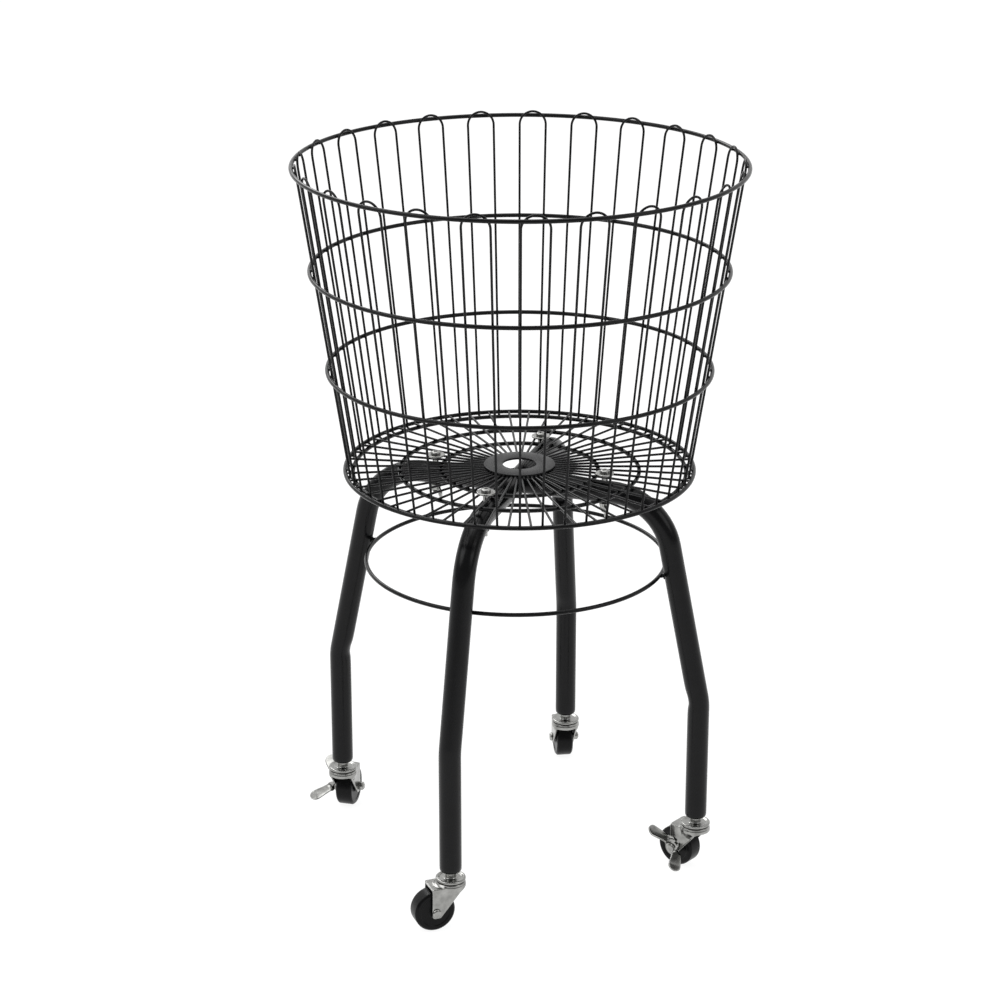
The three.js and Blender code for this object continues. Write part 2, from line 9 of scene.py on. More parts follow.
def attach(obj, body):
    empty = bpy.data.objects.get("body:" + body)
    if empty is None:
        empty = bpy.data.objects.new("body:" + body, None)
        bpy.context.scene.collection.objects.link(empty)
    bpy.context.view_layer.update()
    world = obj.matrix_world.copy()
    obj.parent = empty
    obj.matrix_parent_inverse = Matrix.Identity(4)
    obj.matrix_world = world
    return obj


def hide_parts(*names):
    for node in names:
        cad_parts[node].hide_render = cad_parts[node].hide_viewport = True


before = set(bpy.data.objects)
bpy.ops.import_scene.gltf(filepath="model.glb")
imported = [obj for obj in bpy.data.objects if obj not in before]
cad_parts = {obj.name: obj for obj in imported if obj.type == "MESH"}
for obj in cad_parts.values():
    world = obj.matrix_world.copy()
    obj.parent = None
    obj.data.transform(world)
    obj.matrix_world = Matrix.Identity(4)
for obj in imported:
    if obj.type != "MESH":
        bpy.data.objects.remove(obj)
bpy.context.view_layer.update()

# A wire dump bin, dressed: an open basket of bent wires on a tube stand with swivel casters.
# Lengths are in millimetres, and each mesh is scaled to metres when it is made.
MM = 0.001
SHARP_ANGLE = radians(38)  # edges that turn by more than this stay sharp

# Basket wall
RIM_RADIUS = 210  # centre line of the rim's wire
BASE_RADIUS = 166  # centre line of the base ring's wire
FLOOR_HEIGHT = 395.5  # centre line of the base ring above the ground
BASKET_DEPTH = 294  # from the base ring up to the rim
LOWER_RING_RISE = 100  # above the base ring
UPPER_RING_RISE = 196  # above the base ring
RING_WIRE = 4
WALL_WIRE = 2.3
WIRE_END_SWEEP = 0.85 * pi / 2  # angle that a wire's rounded end covers
WIRE_END_HEIGHT = 0.6  # as a share of the wire's radius
HAIRPIN_COUNT = 25
HAIRPIN_RISE = 4.5  # top of the arch above the rim, at the centre lines
HAIRPIN_STOPS = (0, 0.02, 0.5, 0.98)  # points on a wall wire, as shares of its straight length
WELD_GAP = 0.4  # clear gap between pieces that are welded to each other
WELD_SPOT = (2.3, 1.5, 0.9)  # half sizes of a spot weld: along the ring, upwards and outwards

# Basket floor, one welded panel
FLOOR_DROP = 2.6  # floor rings' centre line below the base ring's
DISC_RADIUS = 34
DISC_HOLE_RADIUS = 16
DISC_THICKNESS = 2
DISC_EDGE = 0.5  # round of the disc's edges
SPOKE_LAP = 10  # length of each spoke under the disc
SPOKE_ENDS = (2, 1)  # stretch behind the rounded inner and outer end of a spoke
WELD_SINK = 0.25  # depth of a spoke in the ring or disc that it is welded to
SPOKE_WELD = (1.3, 1.1, 1.0)  # between a spoke and the base ring
EDGE_WELD = (1.6, 1.2, 0.9)  # between a wall wire and the floor's edge ring
EDGE_WELD_RISE = 1

# Bolts that hold the basket on the stand
BOLT_CIRCLE = 84.7  # radius about the basket's axis
INNER_RING_INSET = 9.7  # inner floor ring inside the bolt circle
OUTER_RING_OUTSET = 29.3  # outer floor ring outside the bolt circle
BOLT_DIAMETER = 6
BOLT_HEAD_DIAMETER = 9.5
BOLT_HEAD_HEIGHT = 3
BOLT_TAIL = 4  # thread showing below the nut
BOLT_END_TAPER = 0.4
BOLT_TURN = 0.5  # of the first bolt, in radians
BOLT_TURN_STEP = 1.3  # from each bolt to the next
THREAD_PITCH = 1
THREAD_DEPTH = 0.5
RECESS_LENGTH = 5.2
RECESS_WIDTH = 1.3
RECESS_DEPTH = 1.8
RECESS_TAPER = 0.45  # length at the bottom, as a share of the tool's at its top
RECESS_OVERCUT = 1  # top of the tool above the bolt's head
WASHER_DIAMETER = 18
WASHER_THICKNESS = 1.6
WASHER_CLEARANCE = 0.2
WASHER_ROUNDS = (0.2, 0.3, 0.6, 0.2)  # lower inner, lower outer, upper outer, upper inner
NUT_CLEARANCE = 0.1
NUT_BEVEL = 0.5
NUT_HUB_DIAMETER = 11
NUT_HUB_HEIGHT = 6
NUT_HUB_TAPER = 1.2
NUT_WING_ROOT = 0.8  # start of a wing, outside the bore
NUT_WING_TOP = 1.5  # upper edge of a wing, below the hub's top
NUT_WING_SHOULDER = 2  # end of the level part of that edge, outside the hub
NUT_WING_CORNER = 0.5  # outer end of that edge, above the hub's lower face
NUT_WING_REACH = 12.5  # from the bolt's axis to the tip of a wing
NUT_WING_DROP = 5  # tip of a wing below the hub
NUT_WING_TOE = 2.5  # inner corner of the tip, outside the hub
NUT_WING_FOOT = 1  # lower corner of a wing's root, above the hub's lower face
NUT_WING_THICKNESS = 2.2
SEAT_GAP = 0.3  # between clamped faces

# Tube stand
TUBE_DIAMETER = 21
TUBE_STEP = 3  # stretch between two rings of a tube
STAND_SHIFT = 3.4  # stand's axis from the basket's axis, towards the left leg
LEG_SPREAD = 186  # from the stand's axis to the foot of a leg
KINK_HEIGHT = 177  # where a leg turns upright
SHOULDER_OUTSET = 58.7  # where the straight lines of a leg's shoulder meet, outside the bolt circle
KINK_BEND = 60  # bend radii of the tube's centre line
SHOULDER_BEND = 60
TUBE_END_ROUND = 3.5
DENT_DEPTH = 1.4  # pressed into the inside of each kink
DENT_LENGTH = 8
DENT_RISE = 4  # middle of the dent above the kink
DENT_FADE = 4  # where the dent ends, in dent lengths from its middle
LEG_RING_DROP = 78  # leg ring below the tubes under the floor
LEG_RING_STUB = 2.7  # clear length of the stub between the ring and a leg
STUB_SINK = 0.6  # end of a stub inside the leg
STUB_LEG_WELD = (3.6, 3.4, 1.3)
STUB_RING_WELD = (3.2, 2.3, 1.4)
STUB_RING_WELD_SHIFT = 1.6  # its middle, outside the ring's centre line
BEAD_RADIUS = 1.7
BEAD_RIPPLES = 26
BEAD_RIPPLE_HEIGHT = 0.1  # as a share of the bead's radius
BEAD_STRETCH = 1.02  # bead's line, as a multiple of the butted tube's section
BEAD_SHIFT = 0.4  # bead's line outside the crossing tube

# Casters
WHEEL_DIAMETER = 40
WHEEL_FACETS = 24  # of the CAD wheel, which stands on one of them
WHEEL_WIDTH = 17
WHEEL_SHOULDER = 1.8  # bevel at the edge of the tread
WHEEL_BORE_CLEARANCE = 0.3
WHEEL_HUB = (6.5, 7)  # radii of the slope from the hub into the recess round it
WHEEL_RIM = (14.2, 14.8)  # radii of the slope from that recess to the rim
WHEEL_RECESS = 0.5
AXLE_DIAMETER = 6
AXLE_HEAD_DIAMETER = 9
AXLE_HEAD_HEIGHT = 2.2
AXLE_TAIL = 1  # axle past its nut
AXLE_CHAMFER = (0.5, 0.6)  # across and along
AXLE_NUT_WIDTH = 8  # across flats
AXLE_NUT_HEIGHT = 4
AXLE_NUT_TURN = 0.2  # in radians
TRAIL = 18.2  # from the stem's axis back to the axle
WHEEL_CLEARANCE = 2.6  # tread to the fork's bridge
SIDE_CLEARANCE = 1  # wheel to the fork's cheeks
FORK_SHEET = 2
FORK_BACK = 4.2  # cheek behind the axle
FORK_END = 6  # cheek below the axle
FORK_NOSE = 9  # front of the cheek's top, ahead of the stem's axis
FORK_DISC_RADIUS = 14.5
FORK_EDGE = 0.4  # bevel at the disc's upper edge
FORK_SKIRT = 1.3  # rim turned down round the front of the disc
FORK_FLANK = 6  # further drop of that rim towards the cheeks
FLANK_POWER = 8  # the higher, the nearer to the cheeks that drop begins
FLANK_LIMIT = 0.7  # least sine that the rim is drawn in to the cheeks with
SHELF_CLEARANCE = 1  # shelf behind the disc's bore
SHELF_ROUNDS = (0, 3, 3, 0)  # round at the back
CHEEK_INSET = 0.5  # upper corner of a cheek, ahead of the shelf's end
EMBOSS_WIDTH = 3  # slope from the fork's shelf up to the race, in the middle
EMBOSS_LEAST = 0.5  # further width of that slope, all along
EMBOSS_SINK = 0.6  # foot of the slope inside the shelf
EMBOSS_LAP = 2  # slope inside the race
EMBOSS_BEND = (0.3, 1.3)  # share of the slope's width, and height above its foot
RACE_INSET = 0.5  # raised race inside the fork's disc
RACE_HEIGHT = 2.2
RACE_STEP = 0.3  # foot of the race above the disc
RACE_BEVEL = 0.6
RACE_GAP = 1.1  # swivel gap under the cap
CAP_RADIUS = 14.3
CAP_RIM = 2.4  # height of the cap's rim
CAP_LIP = 2.2  # width of the cap's rim
CAP_SLOPE = 2  # from that rim down into the dish
CAP_DISH = 0.9  # depth of the dish inside the rim
NECK_DIAMETER = 10
NECK_HEIGHT = 5.5  # from the cap's rim to the end of the tube
NECK_SINK = 6  # neck inside the tube
CAGE_BALLS = 28  # in the swivel gap
CAGE_CLEARANCE = 0.2
CAGE_INSET = 0.9  # middles of the balls, inside the cap's edge
CAGE_WIDTH = 1
KINGPIN_DIAMETER = 7
KINGPIN_CLEARANCE = 0.8
KINGPIN_HEAD_DIAMETER = 10
KINGPIN_HEAD_HEIGHT = 1.2
AXIS_RADIUS = 0.3  # where a turned profile ends, beside its axis

# Brake levers
LEVER_SHEET = 1.6
LEVER_HUB_RADIUS = 7.5
LEVER_HUB_ROUNDS = (0.2, 0.4, 0.4, 0.2)
LEVER_BORE_CLEARANCE = 0.2
WING_START = 5  # where a wing bends away from the hub
WING_BEND = 3  # radius of that bend
WING_LENGTH = 25.3  # centre of a wing's round tip, from the axle's axis
WING_TIP = 6.2  # radius of the tip
WING_TIP_END = 0.004  # square of the share of its width that is left at the end of the tip
WING_WAIST = 4.9  # half width where a wing has turned on edge
WING_RAISE = 5  # root of a wing above the axle
WING_TURN = (5, 11)  # a wing turns on edge between these distances from the axle's axis
WING_STEPS = 24
WINGS = ((10, 25), (166, 44))  # angle up from straight back with the lever level, and flare from the cheek
LEVER_ROCK = 40

# Legs: direction, side that a butted tube's bolt is set off to, turn of the wing nut, foot aside in
# millimetres, direction that the wheel trails in, and lever's rock
Leg = namedtuple("Leg", "azimuth butt nut sway trail rock")
LEGS = {
    "front": Leg(225, -1, 20, -3.5, 174.4, None),
    "right": Leg(315, 0, -68, -4, 112.8, LEVER_ROCK),
    "back": Leg(45, 1, 50, 4.6, 71, None),
    "left": Leg(135, 0, -45, -4, 48.8, LEVER_ROCK),
}
LEFT_AZIMUTH = radians(LEGS["left"].azimuth)

# Materials
NOISE_RANGE = (0.3, 0.7)  # where most values of a noise lie
BUMP_DEPTH = 0.05

# Camera, from the photo's perspective
CAMERA_AZIMUTH = radians(242.82)  # where it stands, seen from the basket's axis
CAMERA_DISTANCE = 2462.5
CAMERA_HEIGHT = 1271.4
CAMERA_PITCH = radians(20.282)
CAMERA_YAW = radians(0.4319)
CAMERA_LENS = 98.67
CAMERA_SENSOR = 36

# Studio
BACKDROP_RISE = radians(41)  # brightest part of the room, up from straight behind the bin
BACKDROP_FADE = 0.7  # cosine of the angle to that part within which the room is white
ROOM_DIM = 0.25  # strength on the camera's side, where 1 is white
STAGE_RADIUS = 40000
STAGE_TOP = -0.02  # just below the ground, so that no wheel shares the stage's face
STAGE_BOTTOM = -30
STAGE_GLOW = 1.15
STAGE_GLOW_SHARE = 0.8  # the rest of what the camera sees is paint, which keeps the shadow

# Lamps: turn in degrees from the camera's direction, distance, height, diameter and watts
Lamp = namedtuple("Lamp", "turn distance height size power")
LAMPS = {
    "key": Lamp(-70, 1800, 2200, 2000, 22),
    "fill": Lamp(60, 2200, 1600, 1400, 8),
    "top": Lamp(180, 300, 2600, 1600, 12),
    "back": Lamp(-156, 2000, 1850, 1100, 14),
}
LAMP_TARGET = 400  # height on the basket's axis

# Sizes that follow from the ones above
SPOKE_COUNT = 2 * HAIRPIN_COUNT
HALF_PITCH = pi / SPOKE_COUNT  # half the angle between neighbouring wall wires
WIRE_AZIMUTHS = [LEFT_AZIMUTH + 2 * HALF_PITCH * i for i in range(SPOKE_COUNT)]
CONE_SLOPE = (RIM_RADIUS - BASE_RADIUS) / BASKET_DEPTH
CONE_COSINE = 1 / hypot(1, CONE_SLOPE)
RIM_HEIGHT = FLOOR_HEIGHT + BASKET_DEPTH
FLOOR_RING_HEIGHT = FLOOR_HEIGHT - FLOOR_DROP
SPOKE_HEIGHT = FLOOR_RING_HEIGHT + (RING_WIRE + WALL_WIRE) / 2 - WELD_SINK
SPOKE_TOP = SPOKE_HEIGHT + WALL_WIRE / 2
TUBE_RADIUS = TUBE_DIAMETER / 2
TUBE_HEIGHT = FLOOR_RING_HEIGHT - RING_WIRE / 2 - WELD_GAP - TUBE_RADIUS
BOLT_ASIDE = BOLT_CIRCLE * sin(HALF_PITCH) - STAND_SHIFT  # between two spokes, on a butted tube
LEG_RING_HEIGHT = TUBE_HEIGHT - LEG_RING_DROP
AXLE_HEIGHT = WHEEL_DIAMETER / 2 * cos(pi / WHEEL_FACETS)
WHEEL_RADIUS = AXLE_HEIGHT
BRIDGE_HEIGHT = AXLE_HEIGHT + WHEEL_DIAMETER / 2 + WHEEL_CLEARANCE
FORK_TOP = BRIDGE_HEIGHT + FORK_SHEET
RACE_RADIUS = FORK_DISC_RADIUS - RACE_INSET
RACE_TOP = FORK_TOP + RACE_HEIGHT
CAP_FLOOR = RACE_TOP + RACE_GAP
CAP_TOP = CAP_FLOOR + CAP_RIM
TUBE_END = CAP_TOP + NECK_HEIGHT
CHEEK_INSIDE = WHEEL_WIDTH / 2 + SIDE_CLEARANCE
CHEEK_OUTSIDE = CHEEK_INSIDE + FORK_SHEET
LEVER_INSIDE = CHEEK_OUTSIDE + SEAT_GAP
AXLE_NUT_FACE = -CHEEK_OUTSIDE - SEAT_GAP
SHOULDER_REACH = BOLT_CIRCLE + SHOULDER_OUTSET
SPLAY = atan((LEG_SPREAD - SHOULDER_REACH) / (TUBE_HEIGHT - KINK_HEIGHT))  # of a leg above its kink
NUT_TOP = TUBE_HEIGHT - TUBE_RADIUS - SEAT_GAP
NUT_FLOOR = NUT_TOP - NUT_HUB_HEIGHT
WASHER_FLOOR = SPOKE_TOP + SEAT_GAP
WASHER_TOP = WASHER_FLOOR + WASHER_THICKNESS
BOLT_TOP = WASHER_TOP + BOLT_HEAD_HEIGHT

AXES = [Vector(row) for row in Matrix.Identity(3)]
UP = AXES[2]
STAND = "basket_and_stand"
STAND_PLACE = Matrix.Translation(STAND_SHIFT * Vector((cos(LEFT_AZIMUTH), sin(LEFT_AZIMUTH), 0)))


# Outlines and paths

def circle(radius, count, turn=0.0):
    angles = [turn + 2 * pi * i / count for i in range(count)]
    return [(radius * cos(angle), radius * sin(angle)) for angle in angles]


def rectangle(left, right, low, high):
    return [(left, low), (right, low), (right, high), (left, high)]


def fillet(corners, radii, loop=False, steps=5):
    """Rounds the corners of an outline of points. radii has one value for every corner, or is one value."""
    points = [Vector(c) for c in corners]
    count = len(points)
    if not hasattr(radii, "__len__"):
        radii = [radii] * count
    rounded = []
    for i, point in enumerate(points):
        if radii[i] == 0 or (not loop and i in (0, count - 1)):
            rounded.append(point)
            continue
        back = (points[i - 1] - point).normalized()
        ahead = (points[(i + 1) % count] - point).normalized()
        half = acos(max(-1.0, min(1.0, back.dot(ahead)))) / 2
        if half > pi / 2 - 1e-3:
            rounded.append(point)
            continue
        middle = (back + ahead).normalized()
        centre = point + middle * (radii[i] / sin(half))
        start = point + back * (radii[i] / tan(half)) - centre
        end = point + ahead * (radii[i] / tan(half)) - centre
        sweep = pi - 2 * half
        for k in range(steps + 1):
            t = k / steps
            arm = (start * sin((1 - t) * sweep) + end * sin(t * sweep)) / sin(sweep)
            rounded.append(centre + arm)
    return rounded


def round_off(corners, loop=False, steps=5):
    """Rounds the corners of a flat outline, each given as its two coordinates and the radius of its round."""
    return fillet([corner[:2] for corner in corners], [corner[2] for corner in corners], loop, steps)


def ease(value, start, end):
    """0 before the start and 1 after the end, with a smooth change between them."""
    share = max(0, min(1, (value - start) / (end - start)))
    return 0.5 - 0.5 * cos(pi * share)


def spin(angle):
    return Matrix.Rotation(angle, 4, "Z")


def polar(radius, azimuth, height=0):
    return Vector((radius * cos(azimuth), radius * sin(azimuth), height))


def frames(path, loop=False):
    """A pair of directions across the path at each of its points, turning as little as possible."""
    count = len(path)
    tangents = []
    for i in range(count):
        before = path[i - 1] if loop or i > 0 else path[i]
        after = path[(i + 1) % count] if loop or i < count - 1 else path[i]
        tangents.append((after - before).normalized())
    across = tangents[0].orthogonal().normalized()
    pairs = []
    for i, tangent in enumerate(tangents):
        if i > 0:
            across = tangents[i - 1].rotation_difference(tangent) @ across
            across = (across - tangent * across.dot(tangent)).normalized()
        pairs.append((across, tangent.cross(across)))
    return pairs


# Meshes and pieces

class Shell:
    """Points and faces of one mesh."""

    def __init__(self):
        self.points = []
        self.faces = []

    def add(self, rings, loop=False):
        """Joins rings of equally many points one to the next. Without loop, the two ends are capped."""
        sides = len(rings[0])
        first = len(self.points)
        for ring in rings:
            self.points.extend(Vector(p) for p in ring)
        for i in range(len(rings) if loop else len(rings) - 1):
            low = first + i * sides
            high = first + (i + 1) % len(rings) * sides
            for k in range(sides):
                n = (k + 1) % sides
                self.faces.append((low + k, low + n, high + n, high + k))
        if not loop:
            last = first + (len(rings) - 1) * sides
            self.faces.append(tuple(range(first + sides - 1, first - 1, -1)))
            self.faces.append(tuple(range(last, last + sides)))
        return self

    def add_sweep(self, path, radius, sides, domed=False):
        """A round wire or bar along a path."""
        rings = []
        for point, (across, up) in zip(path, frames(path)):
            rings.append([point + x * across + y * up for x, y in circle(radius, sides)])
        if domed:
            rings = dome(rings)[::-1] + rings[1:-1] + dome(rings[::-1])
        return self.add(rings)

    def add_turned(self, profile, steps, loop=False):
        """A turned form about Z from a profile of (radius, height) points."""
        rings = [[(x, y, height) for x, y in circle(radius, steps)] for radius, height in profile]
        return self.add(rings, loop)

    def add_prism(self, outline, low, high, matrix=Matrix.Identity(4)):
        """A straight block between two heights, over an outline of (x, y) points."""
        return self.add([[matrix @ Vector((x, y, height)) for x, y in outline] for height in (low, high)])

    def add_ball(self, centre, axes, sides=8, rings=5):
        """A squashed ball. axes are its three half axes as vectors."""
        levels = [-pi / 2 + pi * (i + 0.5) / rings for i in range(rings)]
        return self.add([[centre + x * axes[0] + y * axes[1] + sin(level) * axes[2]
                          for x, y in circle(cos(level), sides)] for level in levels])

    def moved(self, matrix):
        self.points = [matrix @ p for p in self.points]
        return self

    def mesh(self, name):
        made = bpy.data.meshes.new(name)
        made.from_pydata([p * MM for p in self.points], [], self.faces)
        shaped = bmesh.new()
        shaped.from_mesh(made)
        bmesh.ops.recalc_face_normals(shaped, faces=shaped.faces)
        shaped.to_mesh(made)
        shaped.free()
        return smooth(made)


def dome(rings, steps=3):
    """Rounds a wire's first ring over to a small flat end. The new rings run from the wire to that end."""
    middle = sum(rings[0], Vector()) / len(rings[0])
    along = (middle - sum(rings[1], Vector()) / len(rings[1])).normalized()
    radius = (rings[0][0] - middle).length
    made = []
    for i in range(steps + 1):
        angle = WIRE_END_SWEEP * i / steps
        drop = along * radius * (sin(angle) - 1) * WIRE_END_HEIGHT
        made.append([middle + (p - middle) * cos(angle) + drop for p in rings[0]])
    return made


def smooth(mesh):
    mesh.shade_smooth()
    mesh.set_sharp_from_angle(angle=SHARP_ANGLE)
    return mesh


def new_object(name, data):
    made = bpy.data.objects.new(name, data)
    bpy.context.scene.collection.objects.link(made)
    return made


def with_modifiers(mesh, *modifiers):
    """The mesh after modifiers, each given as its type and a dict of its settings."""
    carrier = new_object("carrier", mesh)
    for kind, settings in modifiers:
        modifier = carrier.modifiers.new(kind, kind)
        for key, value in settings.items():
            setattr(modifier, key, value)
    graph = bpy.context.evaluated_depsgraph_get()
    made = bpy.data.meshes.new_from_object(carrier.evaluated_get(graph))
    made.name = mesh.name
    bpy.data.objects.remove(carrier)
    return made


def melted(mesh, voxel, rounds, keep):
    """Overlapping closed forms melted into one, with soft edges."""
    made = with_modifiers(
        mesh,
        ("REMESH", {"mode": "VOXEL", "voxel_size": voxel * MM}),
        ("SMOOTH", {"factor": 0.5, "iterations": rounds}),
        ("DECIMATE", {"ratio": keep}),
    )
    made.shade_smooth()
    return made


def bevelled(mesh, width):
    settings = {"width": width * MM, "segments": 3, "angle_limit": radians(40)}
    return smooth(with_modifiers(mesh, ("BEVEL", settings)))


def place(name, form, finish, body, nodes=(), matrix=Matrix.Identity(4)):
    """Puts a form in the scene as a piece that rides on a body and stands for CAD nodes.

    The form is a mesh, or a shell that only this piece uses. The matrix is in millimetres.
    """
    mesh = form.mesh(name) if isinstance(form, Shell) else form
    piece = new_object(name, mesh)
    if not mesh.materials:
        mesh.materials.append(finish.material)
    scaled = matrix.copy()
    scaled.translation = matrix.translation * MM
    piece.matrix_world = scaled
    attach(piece, body)
    if nodes:
        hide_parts(*nodes)


# Materials

def new_material(name):
    material = bpy.data.materials.new(name)
    material.use_nodes = True
    tree = material.node_tree
    return material, tree, tree.nodes["Principled BSDF"]


def node(tree, kind, inputs=None, **settings):
    made = tree.nodes.new(kind)
    for key, value in settings.items():
        setattr(made, key, value)
    for key, value in (inputs or {}).items():
        if isinstance(value, bpy.types.NodeSocket):
            tree.links.new(value, made.inputs[key])
        else:
            made.inputs[key].default_value = value
    return made


def noise(tree, scale, detail=3.0, stretch=(1, 1, 1)):
    """A noise value on the piece's own coordinates. The scale is in cycles per metre."""
    coordinates = node(tree, "ShaderNodeTexCoord")
    mapped = node(tree, "ShaderNodeMapping", {"Vector": coordinates.outputs["Object"], "Scale": stretch})
    made = node(tree, "ShaderNodeTexNoise", {"Vector": mapped.outputs[0], "Scale": scale, "Detail": detail})
    return made.outputs["Fac"]


def map_range(tree, value, old, new):
    """Maps a value from one (low, high) range to another."""
    inputs = {"Value": value, "From Min": old[0], "From Max": old[1], "To Min": new[0], "To Max": new[1]}
    return node(tree, "ShaderNodeMapRange", inputs).outputs["Result"]


def spread(tree, value, low, high):
    """Maps a noise value's usual range to another one."""
    return map_range(tree, value, NOISE_RANGE, (low, high))


def tint(tree, value, low, high):
    """Mixes two colours by a noise value."""
    inputs = {"Factor": spread(tree, value, 0, 1), "A": (*low, 1), "B": (*high, 1)}
    return node(tree, "ShaderNodeMix", inputs, data_type="RGBA").outputs[2]


def bump(tree, shader, scale, strength):
    height = noise(tree, scale, 2)
    made = node(tree, "ShaderNodeBump", {"Height": height, "Strength": strength, "Distance": BUMP_DEPTH * MM})
    tree.links.new(made.outputs["Normal"], shader.inputs["Normal"])


def mottled(name, tone, roughness, specular, grain):
    """A dark finish. tone and roughness are a noise scale and two ends, grain is a scale and a strength."""
    material, tree, shader = new_material(name)
    scale, *ends = tone
    tree.links.new(tint(tree, noise(tree, scale), *ends), shader.inputs["Base Color"])
    scale, *ends = roughness
    tree.links.new(spread(tree, noise(tree, scale), *ends), shader.inputs["Roughness"])
    shader.inputs["Specular IOR Level"].default_value = specular
    bump(tree, shader, *grain)
    return material


def powder_coat():
    tone = (90, (0.0026, 0.0027, 0.003), (0.0044, 0.0045, 0.005))
    return mottled("black_powder_coat", tone, (400, 0.2, 0.28), 0.19, (900, 0.12))


# Greased balls, darkened nearly to black as painted shade of the swivel gap under the cap
def grease_and_gap_shade_steel():
    tone = (900, (0.006, 0.0055, 0.0045), (0.016, 0.014, 0.011))
    return mottled("grease_and_gap_shade_steel", tone, (1500, 0.4, 0.6), 0.15, (1800, 0.2))


def wheel_plastic():
    tone = (260, (0.0028, 0.0028, 0.0031), (0.0048, 0.0048, 0.0053))
    return mottled("black_wheel_plastic", tone, (700, 0.26, 0.36), 0.14, (1500, 0.2))


def zinc_plate():
    """Bright plating, paler on its edges as rubbed wear and painted highlight, and darker in its corners as
    painted shade.
    """
    material, tree, shader = new_material("zinc_plated_steel")
    shader.inputs["Metallic"].default_value = 1
    # Pointiness paints convex edges paler, part wear and part painted highlight, and corners and creases
    # darker, as painted shade
    shape = node(tree, "ShaderNodeNewGeometry").outputs["Pointiness"]
    edges = map_range(tree, shape, (0.42, 0.58), NOISE_RANGE)
    wear_and_painted_light = node(tree, "ShaderNodeMix", {"Factor": 0.6, "A": noise(tree, 160), "B": edges})
    tone = tint(tree, wear_and_painted_light.outputs[0], (0.16, 0.16, 0.153), (0.44, 0.44, 0.425))
    tree.links.new(tone, shader.inputs["Base Color"])
    streaks = noise(tree, 500, 4, (1, 1, 0.12))
    tree.links.new(spread(tree, streaks, 0.14, 0.25), shader.inputs["Roughness"])
    bump(tree, shader, 700, 0.06)
    return material


Finish = namedtuple("Finish", "material slot")
COAT = Finish(powder_coat(), "black_coat")
ZINC = Finish(zinc_plate(), "zinc_steel")
GREASE_AND_GAP_SHADE = Finish(grease_and_gap_shade_steel(), "zinc_steel")
PLASTIC = Finish(wheel_plastic(), "wheel_plastic")


# Basket wall

def ring_radius(height):
    return BASE_RADIUS + CONE_SLOPE * (height - FLOOR_HEIGHT)


def wall_radius(height):
    return ring_radius(height) - ((RING_WIRE + WALL_WIRE) / 2 + WELD_GAP) / CONE_COSINE


def hoop(radius, height, steps=168, sides=14):
    section = [(radius + x, height + y) for x, y in circle(RING_WIRE / 2, sides)]
    return Shell().add_turned(section, steps, loop=True)


def arch_sizes():
    """Half width, lean and height of the springing line of a hairpin's arch."""
    top = RIM_HEIGHT + HAIRPIN_RISE
    lean = atan(CONE_SLOPE * cos(HALF_PITCH))
    half = wall_radius(top) * sin(HALF_PITCH) / (1 + CONE_SLOPE * cos(lean) * sin(HALF_PITCH))
    return half, lean, top - half * cos(lean)


def hairpin_path(steps=24):
    half, lean, spring = arch_sizes()
    foot = FLOOR_HEIGHT - RING_WIRE / 2
    straight = [foot + (spring - foot) * share for share in HAIRPIN_STOPS]
    path = [polar(wall_radius(height), -HALF_PITCH, height) for height in straight]
    for i in range(steps + 1):
        angle = pi * i / steps
        rise = half * sin(angle)
        x = wall_radius(spring) * cos(HALF_PITCH) + rise * sin(lean)
        path.append(Vector((x, -half * cos(angle), spring + rise * cos(lean))))
    return path + [polar(wall_radius(height), HALF_PITCH, height) for height in straight[::-1]]


def spot(shell, radius, azimuth, height, sizes):
    """A spot weld at a place on the basket."""
    out = polar(1, azimuth)
    along = Vector((-sin(azimuth), cos(azimuth), 0))
    axes = (sizes[0] * along, sizes[1] * UP, sizes[2] * out)
    shell.add_ball(radius * out + height * UP, axes)


def build_wall():
    heights = {
        "rim_ring": RIM_HEIGHT,
        "upper_ring": FLOOR_HEIGHT + UPPER_RING_RISE,
        "lower_ring": FLOOR_HEIGHT + LOWER_RING_RISE,
        "base_ring": FLOOR_HEIGHT,
    }
    half, lean, spring = arch_sizes()
    for name, height in heights.items():
        place(f"{name}_wire", hoop(ring_radius(height), height), COAT, STAND, [name])
        spots = Shell()
        seam = ring_radius(height) - (RING_WIRE + WELD_GAP) / 2
        shift = 0
        if height > spring:
            reach = sqrt(half ** 2 - ((height - spring) / cos(lean)) ** 2)
            shift = HALF_PITCH - asin(reach / seam)
        for i, azimuth in enumerate(WIRE_AZIMUTHS):
            inwards = shift if i % 2 else -shift
            spot(spots, seam, azimuth + inwards, height, WELD_SPOT)
        place(f"{name}_welds", spots, COAT, STAND)
    wire = Shell().add_sweep(hairpin_path(), WALL_WIRE / 2, 12, domed=True).mesh("hairpin_wire")
    for i in range(HAIRPIN_COUNT):
        turn = spin(LEFT_AZIMUTH + HALF_PITCH * (4 * i - 1))
        place(f"hairpin_wire_{i + 1:02d}", wire, COAT, STAND, [f"hairpin_{i + 1:02d}"], turn)


# Basket floor

